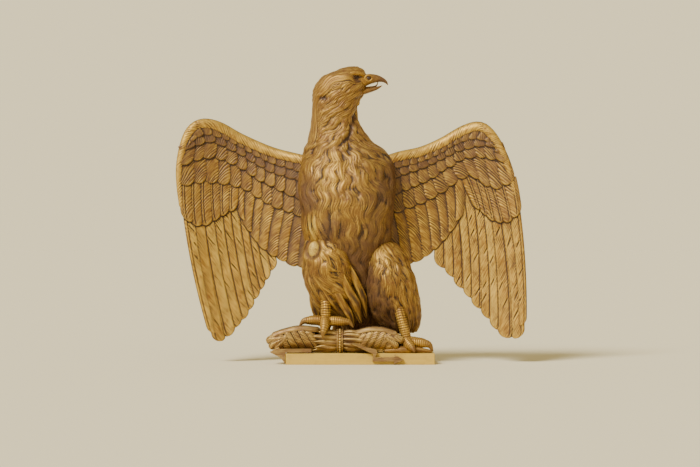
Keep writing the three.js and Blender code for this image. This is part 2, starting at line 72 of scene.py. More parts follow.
# Rows of feathers from the front down. count is how many a row has, face and root_face how far tips and roots
# stand out of the wing's middle, pitch the distance between the grooves of its barbs, shaft how far the quill lies
# from a feather's middle towards its outer edge, how much brown each row is painted, partly patina and partly
# painted shade, and shade the painted shade and highlight across each feather.
WING_ROWS = [
    dict(tips="edge", roots="leading_edge", count=17, face=11.8, root_face=10.4, tuck=-6, end=0.74, pitch=4.6,
         crown=0.9, barb=0.8, spread=0.80, toning=0.75),
    dict(tips="lesser", roots="edge", count=13, face=11.0, root_face=8.5, tuck=9, pitch=5.0, crown=1.1, barb=0.8,
         spread=0.76, toning=0.92),
    dict(tips="median", roots="lesser", count=13, face=10.2, root_face=6.8, tuck=12, pitch=5.4, crown=1.3, barb=0.9,
         spread=0.74, toning=0.62),
    dict(tips="greater", roots="median", count=12, face=9.2, root_face=5.8, tuck=13, pitch=5.8, crown=1.4, barb=1.0,
         spread=0.73, toning=0.48),
    dict(tips="primary_coverts", roots="greater", count=6, face=8.4, root_face=5.2, tuck=13, start=0.6, pitch=5.8,
         crown=1.6, barb=0.8, spread=0.74, shaft=0.35, toning=0.30),
    dict(tips="secondaries", roots="greater", count=8, face=7.6, root_face=5.0, tuck=13, end=0.62, pitch=5.4,
         crown=2.0, barb=0.9, spread=0.68, rounding=0.9, bend=0.035, toning=0.26, shade=0.55),
    dict(tips="primaries", roots="greater", count=10, face=5.4, root_face=4.2, tuck=8, start=0.36, pitch=4.8, crown=1.3,
         barb=0.75, lean=(-1.9, -1.4), spread=0.72, rounding=1.0, skew=0.55, shaft=0.62, slits=True, bend=0.025,
         toning=-0.18, shade=0.4, vary=0.32),
]
WING_DEPTH = dict(shoulder=16, sweep_back=20, hand_forward=14, tip_curl=16, curl_from=350, curl_height=300)
WING_BACK = dict(share=0.62, edge=3.6)
LEADING_ROLL = dict(radius=13.0, end_radius=6.5, stroke=6.2)

# Levels of the rounded forms: height, centre x, centre y, half width, half depth.
TORSO_LEVELS = [
    (46, 4, 46, 26, 12), (84, 3, 40, 40, 26), (130, -4, 30, 50, 38), (190, -16, 14, 62, 54),
    (250, -25, -2, 78, 68), (310, -26, -8, 85, 76), (365, -26, -4, 87, 72), (405, -27, 2, 80, 60),
    (440, -42, 4, 58, 46), (475, -50, 2, 43, 38), (510, -51, -2, 39, 35), (545, -43, -4, 45, 33),
    (568, -31, -4, 40, 28), (582, -17, -4, 21, 16), (587, -14, -4, 7, 5),
]
LEFT_THIGH_LEVELS = [
    (74, -36, 2, 16, 14), (105, -44, -8, 32, 22), (135, -54, -22, 38, 30), (165, -62, -30, 41, 37),
    (200, -66, -34, 40, 41), (235, -66, -28, 36, 36), (264, -60, -14, 16, 18),
]
RIGHT_THIGH_LEVELS = [
    (62, 88, 8, 20, 14), (82, 80, -2, 34, 22), (112, 70, -16, 43, 28), (145, 64, -28, 42, 35),
    (180, 60, -32, 37, 39), (215, 52, -22, 28, 32), (250, 40, -4, 10, 14),
]
LEFT_PLUME = dict(line=[(-72, -8, 200), (-86, -4, 150), (-88, 2, 108), (-80, 8, 74)], radii=[4, 16, 12, 3])
RIGHT_PLUME = dict(line=[(72, -10, 180), (92, -2, 130), (99, 4, 92), (96, 8, 58)], radii=[4, 18, 15, 4])
# Locks with courses of their own: where the root is, the slant in degrees from straight down and how far it turns
# on the way, the length and half the width.
BREAST_CURLS = [
    (-56, 402, -30, 50, 60, 9), (-36, 404, -12, 36, 64, 9), (-16, 402, 14, -16, 60, 9), (2, 404, 34, -40, 62, 9),
    (-74, 392, -34, 56, 52, 8), (20, 400, 48, -50, 56, 8),
    (-48, 302, 4, -14, 58, 8), (-10, 298, 24, -50, 44, 5.5), (2, 282, 34, -64, 34, 5),
    (-101, 296, -8, 16, 54, 6), (-95, 302, -2, 18, 64, 7), (-87, 300, 8, 20, 62, 7), (-79, 292, 16, 16, 50, 6),
]
LEFT_THIGH_CURLS = [
    (-98, 186, 12, 0, 74, 6), (-90, 182, 22, -6, 84, 6), (-96, 176, 46, 2, 118, 6.5), (-88, 180, 48, 4, 108, 6.5),
    (-78, 178, 52, -6, 84, 6), (-60, 166, 40, -20, 62, 6), (-66, 162, 70, -210, 40, 4.5), (-80, 148, 20, -16, 52, 5.5),
    (-66, 206, 4, 104, 34, 3.2), (-67, 199, 4, 100, 32, 3.2), (-66, 192, 6, 96, 30, 3.0), (-65, 185, 8, 90, 27, 3.0),
    (-64, 178, 10, 86, 24, 2.8), (-44, 218, 30, 30, 40, 4), (-38, 206, 34, 16, 44, 4),
    (-68, 246, 88, -122, 60, 3.4), (-68, 240, 88, -128, 47, 3.2), (-68, 234, 88, -134, 34, 3.0),
    (-67, 228, 88, -150, 22, 2.8),
]
RIGHT_THIGH_CURLS = [
    (96, 150, 4, -14, 80, 5.5), (88, 156, 8, -16, 86, 5.5), (80, 136, 12, -24, 70, 5.5), (50, 132, -14, 20, 62, 6),
    (36, 150, -20, 20, 60, 6), (66, 128, 4, -10, 52, 5.5), (62, 158, -8, 24, 32, 5.5), (78, 166, 14, -30, 34, 5.5),
    (48, 168, -24, 50, 32, 5.5), (68, 178, 18, -40, 30, 5), (56, 186, -14, 46, 30, 5), (78, 192, 26, -30, 34, 5.5),
    (66, 200, 20, -50, 34, 5), (52, 206, -8, 40, 34, 5.5), (70, 222, 26, -10, 40, 5.5), (60, 226, 16, 8, 44, 5.5),
    (36, 222, -10, 22, 50, 6), (45, 238, 2, 10, 58, 6.5),
]
KNEE_SPOT = dict(at=(-90, -59, 226), radii=(12.0, 8.0, 16.5))
# The side of each thigh painted brown as painted shade: past x at height z, leaning outwards below it, on the side
# of the sign; bright is a spot painted as a highlight: x, z, half width, half height.
LEFT_THIGH_SHADE = dict(side=1, x=-16, z=150, lean=0.1, bright=(-58, 205, 16, 30))
RIGHT_THIGH_SHADE = dict(side=-1, x=36, z=181, lean=0.49, bright=(48, 208, 12, 34))
# Long tresses that fall across the inner side of the left thigh.
TRESSES = [
    dict(line=[(-26, -52, 204), (-10, -46, 168), (4, -34, 130), (13, -22, 92)], radii=[4, 8, 8.5, 2]),
    dict(line=[(-42, -62, 196), (-28, -58, 156), (-10, -45, 118), (2, -30, 80)], radii=[4, 9, 10, 2]),
    dict(line=[(-50, -62, 160), (-40, -58, 130), (-24, -46, 100), (-14, -36, 74)], radii=[4, 8, 9, 2]),
]

# Beak sections: x, centre z, half height, half width.
UPPER_BEAK = [
    (-20, 562, 15, 20), (6, 563, 13, 16), (20, 566.5, 10.5, 12.5), (34, 567.5, 7.5, 9.5), (45, 565, 4.6, 6),
    (52, 560.5, 2.8, 3.6), (56, 554.5, 0.5, 0.6),
]
LOWER_BEAK = [(-22, 534, 8, 15), (6, 540.5, 5.6, 11), (20, 544, 4.4, 8.5), (34, 548.5, 3.2, 6), (44.5, 553.5, 0.6, 1)]
TONGUE = dict(line=[(-14, -4, 545), (18, -4, 549), (32, -4, 553), (36, -4, 561)], radii=[5, 4, 2.6, 0.6])
EYE = dict(x=-7, z=568, y=19, radius=6.5)
BROW = dict(line=[(-34, 22, 571), (-18, 22, 576), (-2, 18, 577), (8, 12, 572)], radii=[3, 5, 5, 3])

LEFT_SHANK = [(-72, -34, 152), (-68, -48, 118), (-68, -48, 84)]
RIGHT_SHANK = [(72, -30, 140), (80, -48, 96), (92, -48, 50)]
SHANK = dict(radius=9.8, scute=4.6)
LEFT_TOE_RADII = [9, 10, 9.4, 6, 1]
RIGHT_TOE_RADII = [9.5, 11, 10, 6.5, 1.2]
LEFT_TOES = [
    [(-68, -47, 82), (-84, -48, 86), (-101, -49, 86), (-112, -51, 84), (-121, -53, 74)],
    [(-68, -47, 82), (-69, -62, 84), (-71, -75, 72), (-73, -78, 62), (-74, -76, 51)],
    [(-68, -47, 82), (-52, -50, 85), (-34, -51, 84), (-22, -51, 82), (-13, -52, 72)],
    [(-68, -44, 82), (-67, -28, 82), (-66, -16, 74), (-66, -8, 66), (-66, -4, 54)],
]
RIGHT_TOES = [
    [(92, -48, 46), (108, -51, 43), (126, -53, 41), (137, -54, 37), (144, -55, 25)],
    [(92, -48, 46), (96, -60, 40), (102, -68, 33), (105, -72, 29), (107, -74, 24)],
    [(92, -48, 46), (84, -34, 38), (76, -22, 34), (72, -14, 31), (70, -8, 24)],
    [(92, -44, 46), (100, -30, 38), (106, -18, 34), (110, -10, 31), (112, -4, 24)],
]
FOOT_PAD = dict(line=[(48, -60, 26), (80, -58, 28), (112, -57, 28), (142, -56, 25)], radii=[3, 8, 6.5, 2.5])

TAIL = dict(feathers=7, root_z=170, root_y=46, tip_z=25, tip_y=66, root_half=34, tip_half=62, centre_x=2,
            thickness=15, arch=9, side_rise=14, overlap=1.3)


# Curves

def smooth_curve(points, steps=32):
    """A dense smooth line through points."""
    p = np.asarray(points, float)
    ends = np.vstack([2 * p[0] - p[1], p, 2 * p[-1] - p[-2]])
    t = np.linspace(0, 1, steps, endpoint=False)[:, None]
    parts = []
    for k in range(len(p) - 1):
        a, b, c, d = ends[k:k + 4]
        parts.append(b + ((c - a) * t + (2 * a - 5 * b + 4 * c - d) * t ** 2 + (3 * b - a - 3 * c + d) * t ** 3) / 2)
    return np.vstack(parts + [p[-1:]])


def lengths_along(line):
    return np.r_[0, np.cumsum(np.linalg.norm(np.diff(line, axis=0), axis=1))]


def point_on(line, share):
    """The point at a share of a line's length."""
    lengths = lengths_along(line)
    return np.array([np.interp(share * lengths[-1], lengths, line[:, k]) for k in range(line.shape[1])])


def even_line(points, count):
    line = smooth_curve(points)
    lengths = lengths_along(line)
    at = np.linspace(0, lengths[-1], count)
    return np.column_stack([np.interp(at, lengths, line[:, k]) for k in range(line.shape[1])])


def ramp(value, low, high):
    """A soft step from nought at low to one at high, also where high is the smaller of the two."""
    t = np.clip((value - low) / (high - low), 0, 1)
    return t * t * (3 - 2 * t)


def blur(field, radius):
    """A box blur over a grid, with its edges held."""
    out = field
    for axis in (0, 1):
        padded = np.pad(out, [(radius + 1, radius) if a == axis else (0, 0) for a in (0, 1)], mode="edge")
        total = np.cumsum(padded, axis=axis)
        high = np.take(total, range(2 * radius + 1, total.shape[axis]), axis=axis)
        low = np.take(total, range(0, total.shape[axis] - 2 * radius - 1), axis=axis)
        out = (high - low) / (2 * radius + 1)
    return out


def waves(x, y, size, seed):
    """Smooth wandering values between about -1 and 1 over a plane."""
    rng = np.random.default_rng(seed)
    total = np.zeros(np.broadcast(x, y).shape)
    for _ in range(5):
        angle, shift = rng.uniform(0, 2 * math.pi, 2)
        scale = size * rng.uniform(0.7, 1.6)
        total += np.sin((x * math.cos(angle) + y * math.sin(angle)) * 2 * math.pi / scale + shift)
    return total / 3


# Meshes

class Shells:
    """Closed shells gathered into one piece, with how hollow, how proud and how brown each point is, the brown being
    partly painted shade, how pale where the brown is well below nought, the pale being mostly painted highlight, and
    the lay of its strands: millimetres across them, along them, and a number of their own."""

    def __init__(self):
        self.points, self.faces, self.lays = [], [], []
        self.tones = dict(hollow=[], proud=[], toned=[], pale=[])
        self.count = 0

    def add(self, points, faces, hollow=0.0, proud=0.0, toned=0.0, lay=None):
        points = np.asarray(points, float)
        faces = np.asarray(faces, int)
        corners = points[faces]
        volume = np.einsum("ij,ij->i", corners[:, 0], np.cross(corners[:, 1], corners[:, 2])).sum()
        if volume < 0:
            faces = faces[:, ::-1]
        used, faces = np.unique(faces, return_inverse=True)
        self.faces.append(faces.reshape(-1, 3) + self.count)
        self.points.append(points[used])
        toned = np.zeros(len(points)) + np.ravel(toned)
        # Pale leaf, mostly a painted highlight, is laid where the brown is well below nought.
        pale = -toned - 0.25
        for label, value in (("hollow", hollow), ("proud", proud), ("toned", toned), ("pale", pale)):
            self.tones[label].append((np.zeros(len(points)) + np.ravel(value))[used])
        self.lays.append((points if lay is None else lay)[used])
        self.count += len(used)

    def build(self, name, material, node):
        points = np.vstack(self.points) * MM
        faces = np.vstack(self.faces)
        mesh = bpy.data.meshes.new(name)
        mesh.vertices.add(len(points))
        mesh.vertices.foreach_set("co", points.ravel())
        mesh.loops.add(faces.size)
        mesh.loops.foreach_set("vertex_index", faces.ravel())
        mesh.polygons.add(len(faces))
        mesh.polygons.foreach_set("loop_start", np.arange(0, faces.size, 3))
        mesh.polygons.foreach_set("use_smooth", np.ones(len(faces), bool))
        mesh.update(calc_edges=True)
        for label, parts in self.tones.items():
            layer = mesh.attributes.new(label, "FLOAT", "POINT")
            layer.data.foreach_set("value", np.clip(np.concatenate(parts), 0, 1))
        mesh.attributes.new("lay", "FLOAT_VECTOR", "POINT").data.foreach_set("vector", np.vstack(self.lays).ravel())
        mesh.materials.append(material)
        piece = bpy.data.objects.new(name, mesh)
        bpy.context.collection.objects.link(piece)
        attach(piece, "root")
        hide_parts(node)
        print(name, len(faces), "triangles")
        return piece


def relief_tones(height, fine, broad, hollow_depth, proud_height):
    """How hollow and how proud each place of a relief is, against the places round it."""
    near = blur(height, max(1, round(fine)))
    wide = blur(height, max(2, round(broad)))
    hollow = 0.75 * np.clip((near - height) / hollow_depth, 0, 1)
    hollow = hollow + 0.75 * np.clip((wide - height) / (2.2 * hollow_depth) - 0.1, 0, 1)
    proud = 0.8 * np.clip((height - near) / proud_height, 0, 1) + 0.5 * np.clip((height - wide) / 2.5, 0, 1)
    return np.clip(hollow, 0, 1), np.clip(proud, 0, 1)


def net_faces(rows, columns):
    """Faces of a net whose columns close round, with a pole at each end as the last two points."""
    r, c = np.meshgrid(np.arange(rows - 1), np.arange(columns), indexing="ij")
    a = (r * columns + c).ravel()
    b = (r * columns + (c + 1) % columns).ravel()
    sides = np.vstack([np.column_stack([a, b, b + columns]), np.column_stack([a, b + columns, a + columns])])
    ring = np.arange(columns)
    after = (ring + 1) % columns
    first = rows * columns
    top = (rows - 1) * columns
    foot = np.column_stack([after, ring, np.full(columns, first)])
    head = np.column_stack([top + ring, top + after, np.full(columns, first + 1)])
    return np.vstack([sides, foot, head])


# Feathers in relief

class Panel:
    """A grid over the front view, on which feathers are laid over one another."""

    def __init__(self, low, high, pitch):
        self.pitch = pitch
        self.x = np.arange(low[0], high[0] + pitch, pitch)
        self.z = np.arange(low[1], high[1] + pitch, pitch)
        self.X, self.Z = np.meshgrid(self.x, self.z)
        self.inside = np.full(self.X.shape, -50.0)
        self.top = np.full(self.X.shape, -50.0)
        self.near = np.zeros(self.X.shape)
        self.toned = np.zeros(self.X.shape)
        self.strand = np.stack([self.X, self.Z, 0 * self.X], axis=-1)

    def window(self, low, high):
        columns = slice(*np.searchsorted(self.x, (low[0], high[0])))
        rows = slice(*np.searchsorted(self.z, (low[1], high[1])))
        return rows, columns

    def lay(self, place, inside, height, toning, strand=None):
        top = self.top[place]
        above = (inside > 0) & (height > top)
        if strand is not None:
            self.strand[place] = np.where(above[..., None], strand, self.strand[place])
        self.top[place] = np.where(above, height, top)
        self.toned[place] = np.where(above, toning, self.toned[place])
        closer = inside > self.inside[place]
        self.near[place] = np.where(closer, height, self.near[place])
        self.inside[place] = np.where(closer, inside, self.inside[place])

    def height(self):
        return np.where(self.inside > 0, self.top, self.near)


def feather_relief(u, v, length, root_half, tip_half, skew, row, rng):
    """A feather's distance in from its edge, its height, the lay of its barbs and its painted shade and highlight. u
    runs across it to its inner side, v down it, and skew is how far its tip is cut aslant, to follow the row."""
    share = np.clip(v / length, 0, 1)
    half = root_half + (tip_half - root_half) * share
    rounding = min(row.get("rounding", 1.25) * tip_half, 0.4 * length)
    down = v - skew * u
    t = np.clip((down - (length - rounding)) / rounding, 0, 1.2)
    half = half * np.sqrt(np.clip(1 - t ** 2.2, 0, 1)) - np.where(t > 1, (t - 1) * rounding, 0)
    inside = np.minimum(half - np.abs(u), np.minimum(length - down, v + 1))
    q = np.clip(u / np.maximum(half, 2), -1, 1)
    height = row["root_face"] + (row["face"] - row["root_face"]) * share + rng.uniform(-0.35, 0.35)
    height = height + 1.2 * q + row["crown"] * (1 - q * q)
    fade = ramp(v, 0, 10) * ramp(inside, 0.3, 1.6)
    pitch = row["pitch"] * rng.uniform(0.85, 1.15)
    shift = rng.uniform(0, 6)
    lean = rng.uniform(*row.get("lean", (1.1, 1.7)))
    across = (v + lean * u - 0.025 * u * u) / math.hypot(1, lean)
    phase = across / (0.7 * pitch) + 0.4 * np.sin(v / 15 + shift) + 0.15 * np.sin(v / 4 + u / 5 + shift)
    groove = (0.5 + 0.5 * np.cos(2 * math.pi * phase)) ** 1.3
    strength = row["barb"] * (0.7 + 0.45 * np.sin(v / 11 + u / 9 + 2 * shift))
    height = height - strength * groove * fade
    if "shaft" in row:
        side = u + row["shaft"] * np.maximum(half, 2)
        height = height + 1.0 * np.exp(-(side / 1.1) ** 2) - 0.7 * np.exp(-((side - 2.6) / 1.1) ** 2)
    if row.get("slits"):
        at = length * rng.uniform(0.20, 0.36)
        while at < length * 0.93:
            cut = ((v - at) - rng.uniform(1.5, 1.9) * u) / 2
            low = rng.uniform(-0.6, 0.2) * tip_half
            reach = ramp(u, low, low + 2) * ramp(u, low + rng.uniform(9, 16), low + 6)
            depth = rng.uniform(1.6, 3.0)
            if depth > 2.2:
                height = height - depth * np.exp(-(cut / 0.95) ** 2) * reach
            at += rng.uniform(16, 60)
    if row.get("rim"):
        height = height - 1.1 * np.exp(-((inside - 2.3) / 0.8) ** 2)
    height = height - 2.0 * np.exp(-np.clip(inside, 0, None) / 1.1)
    strand = np.stack([1.5 * across, 1.5 * (u - lean * v) / math.hypot(1, lean), np.full(u.shape, 40 * shift)], axis=-1)
    # Painted shade and highlight: brown where the feather passes under its neighbour's edge, lighter along its raised
    # inner side.
    shade = row.get("shade", 0.25) * (ramp(q, 0.15, -0.5) - 0.5 * ramp(q, 0.3, 0.9))
    return inside, height, strand, shade


def lay_feather(panel, root, tip, root_half, tip_half, row, inward, rng, tip_line=None):
    along = tip - root
    length = float(np.linalg.norm(along))
    along = along / length
    across = np.array([-along[1], along[0]])
    if across @ inward < 0:
        across = -across
    skew = 0.0
    if tip_line is not None:
        skew = row.get("skew", 0.85) * max(-1.1, min(1.1, (tip_line @ along) / (tip_line @ across)))
    reach = max(root_half, tip_half) + 6
    corners = np.array([root, tip])
    place = panel.window(corners.min(0) - reach - 8, corners.max(0) + reach + 8)
    dx = panel.X[place] - root[0]
    dz = panel.Z[place] - root[1]
    v = dx * along[0] + dz * along[1]
    share = np.clip(v / length, 0, 1)
    bend = row.get("bend", 0.02) * length
    u = dx * across[0] + dz * across[1] + bend * 4 * share * (1 - share)
    inside, height, strand, shade = feather_relief(u, v, length, root_half, tip_half, skew, row, rng)
    vary = row.get("vary", 0.12)
    panel.lay(place, inside, height, row.get("toning", 0) + shade + rng.uniform(-vary, vary), strand)


def feather_row(panel, wing, row, rng):
    tips = smooth_curve(wing[row["tips"]])
    roots = smooth_curve(wing[row["roots"]])
    start, end = row.get("start", 0), row.get("end", 1)
    shares = (np.arange(row["count"]) + 0.5) / row["count"]
    pairs = []
    for share in shares:
        tip = point_on(tips, share)
        root = point_on(roots, start + (end - start) * share)
        away = (root - tip) / np.linalg.norm(root - tip)
        pairs.append((root + away * row["tuck"] + rng.uniform(-1, 1, 2), tip + rng.uniform(-1, 1, 2) * 1.2))
    for i, (root, tip) in enumerate(pairs):
        near, far = pairs[max(i - 1, 0)], pairs[min(i + 1, len(pairs) - 1)]
        gaps = (i > 0) + (i < len(pairs) - 1)
        along = (tip - root) / np.linalg.norm(tip - root)
        widths = [abs((far[k] - near[k])[0] * along[1] - (far[k] - near[k])[1] * along[0]) / gaps for k in (0, 1)]
        inward = np.array([-wing["side"], 0.0])
        wide = row["spread"] * rng.uniform(0.94, 1.06)
        lay_feather(panel, root, tip, wide * widths[0], wide * widths[1], row, inward, rng, far[1] - near[1])


def nearest_on(line, x, z):
    """Distance to a line, the length along it of the nearest point, and the distance with its side as a sign."""
    nearest = np.full(x.shape, 1e9)
    along = np.zeros(x.shape)
    side = np.zeros(x.shape)
    lengths = lengths_along(line)
    for k in range(len(line) - 1):
        step = line[k + 1] - line[k]
        span = float(np.hypot(*step))
        dx, dz = x - line[k, 0], z - line[k, 1]
        t = np.clip((dx * step[0] + dz * step[1]) / span ** 2, 0, 1)
        distance = np.hypot(dx - t * step[0], dz - t * step[1])
        closer = distance < nearest
        nearest = np.where(closer, distance, nearest)
        along = np.where(closer, lengths[k] + t * span, along)
        side = np.where(closer, np.sign(dx * step[1] - dz * step[0]) * distance, side)
    return nearest, along, side


def lay_roll(panel, wing):
    """The rolled leading edge, with short slanting strokes."""
    line = even_line(wing["leading_edge"], 60)
    place = panel.window(line.min(0) - 16, line.max(0) + 16)
    x, z = panel.X[place], panel.Z[place]
    nearest, along, side = nearest_on(line, x, z)
    share = along / lengths_along(line)[-1]
    radius = LEADING_ROLL["radius"] + (LEADING_ROLL["end_radius"] - LEADING_ROLL["radius"]) * ramp(share, 0.5, 1)
    inside = radius - nearest
    height = np.sqrt(np.clip(radius ** 2 - nearest ** 2, 0, None)) + 0.6
    phase = (along + 1.2 * side * wing["side"]) / LEADING_ROLL["stroke"] + 0.9 * waves(x, z, 60, 3)
    stroke = (0.5 + 0.5 * np.cos(2 * math.pi * phase)) ** 1.5
    height = height - np.clip(0.45 + 0.8 * waves(x, z, 22, 4), 0, 1.2) * stroke * ramp(inside, 0.5, 3)
    strand = np.stack([0.7 * along + 0.8 * side * wing["side"], 0.8 * along - 0.7 * side * wing["side"], 0 * x], axis=-1)
    # Painted highlight: the roll is painted lighter than the feathers.
    panel.lay(place, inside, height, -0.3, strand)


def wing_depth(wing, x, z):
    """How far back a wing's middle lies."""
    d = WING_DEPTH
    out = np.clip(wing["side"] * (x - wing["shoulder_x"]) / wing["span"], 0, 1)
    down = np.clip(d["curl_from"] - z, 0, None) / d["curl_height"]
    return (d["shoulder"] + d["sweep_back"] * np.sin(math.pi * out) - d["hand_forward"] * out * out
            - d["tip_curl"] * out * down * down)


def merged_in_fours(inside):
    """For each point of a grid, the point that it is merged into where a plainer face is wanted."""
    rows, columns = inside.shape
    deep = inside > 0
    for axis in (0, 1):
        deep = deep & np.roll(deep, 1, axis) & np.roll(deep, -1, axis)
    rows, columns = rows // 2, columns // 2
    whole = deep[:2 * rows, :2 * columns].reshape(rows, 2, columns, 2).all(axis=(1, 3))
    goal = np.arange(inside.size).reshape(inside.shape)
    corner = goal[:2 * rows:2, :2 * columns:2].copy()
    for i in (0, 1):
        for j in (0, 1):
            part = goal[i:2 * rows:2, j:2 * columns:2]
            part[whole] = corner[whole]
    return goal.ravel()


def cut_out(panel, front, back, middle, tones, plain_back=True):
    """The closed shell of a two-faced relief, cut along the outline where inside is nought."""
    inside = panel.inside
    rows, columns = inside.shape
    node = np.arange(rows * columns).reshape(rows, columns)
    a, b, c, d = node[:-1, :-1].ravel(), node[:-1, 1:].ravel(), node[1:, 1:].ravel(), node[1:, :-1].ravel()
    even = ((np.add.outer(np.arange(rows - 1), np.arange(columns - 1)) % 2) == 0).ravel()
    first = np.where(even[:, None], np.column_stack([a, b, c]), np.column_stack([a, b, d]))
    second = np.where(even[:, None], np.column_stack([a, c, d]), np.column_stack([b, c, d]))
    triangles = np.vstack([first, second])
    s = inside.ravel()
    within = s[triangles] > 0
    count = within.sum(1)
    whole = triangles[count == 3]

    def turned(rows_in, lead):
        index = (lead[:, None] + np.arange(3)) % 3
        return np.take_along_axis(rows_in, index, axis=1)

    one = triangles[count == 1]
    one = turned(one, np.argmax(within[count == 1], axis=1))
    two = triangles[count == 2]
    two = turned(two, (np.argmin(within[count == 2], axis=1) + 1) % 3)
    cuts = np.vstack([one[:, [0, 1]], one[:, [0, 2]], two[:, [1, 2]], two[:, [0, 2]]])
    size = rows * columns
    keys = cuts.min(1).astype(np.int64) * size + cuts.max(1)
    unique, inverse = np.unique(keys, return_inverse=True)
    low, high = unique // size, unique % size
    t = np.clip(s[low] / (s[low] - s[high]), 0.06, 0.94)
    used = np.unique(np.r_[whole.ravel(), one[:, 0], two[:, :2].ravel()])
    slot_of = np.full(size, -1)
    slot_of[used] = np.arange(len(used))

    def sample(field):
        flat = field.ravel()
        return np.r_[flat[used], flat[low] * (1 - t) + flat[high] * t]

    x, z = sample(panel.X), sample(panel.Z)
    mid = sample(middle)
    y_front = mid - sample(front)
    y_back = mid + sample(back)
    cut_id = len(used) + inverse
    n1, n2 = len(one), len(two)
    ab, ac = cut_id[:n1], cut_id[n1:2 * n1]
    bc, ac2 = cut_id[2 * n1:2 * n1 + n2], cut_id[2 * n1 + n2:]
    sheet = np.vstack([
        slot_of[whole],
        np.column_stack([slot_of[one[:, 0]], ab, ac]),
        np.column_stack([slot_of[two[:, 0]], slot_of[two[:, 1]], bc]),
        np.column_stack([slot_of[two[:, 0]], bc, ac2]),
    ])
    rim = np.vstack([np.column_stack([ab, ac]), np.column_stack([bc, ac2])])
    total = len(x)
    wall = np.vstack([
        np.column_stack([rim[:, 1], rim[:, 0], rim[:, 0] + total]),
        np.column_stack([rim[:, 1], rim[:, 0] + total, rim[:, 1] + total]),
    ])
    rear = sheet
    if plain_back:
        merged = slot_of[merged_in_fours(inside)[used]]
        rear = np.r_[merged, np.arange(len(used), total)][sheet]
        a, b, c = rear.T
        rear = rear[(a != b) & (b != c) & (c != a)]
    faces = np.vstack([sheet, rear[:, ::-1] + total, wall])
    points = np.vstack([np.column_stack([x, y_front, z]), np.column_stack([x, y_back, z])])
    hollow = np.r_[sample(tones[0]), sample(tones[2])]
    toned = np.r_[sample(panel.toned), sample(0.35 + 0.5 * panel.toned)]
    proud = np.r_[sample(tones[1]), sample(tones[3])] + np.clip(-toned, 0, 1)
    strand = np.column_stack([sample(panel.strand[..., k]) for k in range(3)])
    return points, faces, hollow, proud, toned, np.vstack([strand, strand])


def wing(plan, name, gold):
    rng = np.random.default_rng(5 if plan["side"] < 0 else 9)
    plan = dict(plan)
    lead, lesser = smooth_curve(plan["leading_edge"]), smooth_curve(plan["lesser"])
    plan["edge"] = [0.45 * point_on(lead, 0.74 * t) + 0.55 * point_on(lesser, t) for t in np.linspace(0, 1, 7)]
    every = np.vstack([np.array(plan[k]) for k in ("leading_edge", "primaries", "secondaries", "greater")])
    panel = Panel(every.min(0) - 18, every.max(0) + 18, 1.09 * COARSE)
    for row in reversed(WING_ROWS):
        feather_row(panel, plan, row, rng)
    lay_roll(panel, plan)
    # Painted shade: the wing is painted browner towards the body.
    inner = ramp(plan["side"] * (panel.X - plan["shoulder_x"]), 60, 0)
    panel.toned = blur(panel.toned, 1) + 0.5 * inner
    front = panel.height()
    back = np.maximum(WING_BACK["share"] * blur(front, 2), WING_BACK["edge"])
    step = 1 / panel.pitch
    tones = relief_tones(front, 1.8 * step, 5 * step, 0.62, 0.7)
    back_tones = relief_tones(back, 1.8 * step, 5 * step, 0.6, 0.6)
    shell = Shells()
    shell.add(*cut_out(panel, front, back, wing_depth(plan, panel.X, panel.Z), tones + back_tones))
    return shell.build(name, gold, "eagle")


# Rounded forms clothed in locks

def section(levels, z):
    """Centre x, centre y, half width and half depth of a form at heights z."""
    table = np.array(levels, float)
    z = np.asarray(z, float)
    k = np.clip(np.searchsorted(table[:, 0], z, side="right") - 1, 0, len(table) - 2)
    t = np.clip((z - table[k, 0]) / (table[k + 1, 0] - table[k, 0]), 0, 1)[..., None]
    a, b = table[np.maximum(k - 1, 0), 1:], table[k, 1:]
    c, d = table[k + 1, 1:], table[np.minimum(k + 2, len(table) - 1), 1:]
    return b + ((c - a) * t + (2 * a - 5 * b + 4 * c - d) * t ** 2 + (3 * b - a - 3 * c + d) * t ** 3) / 2


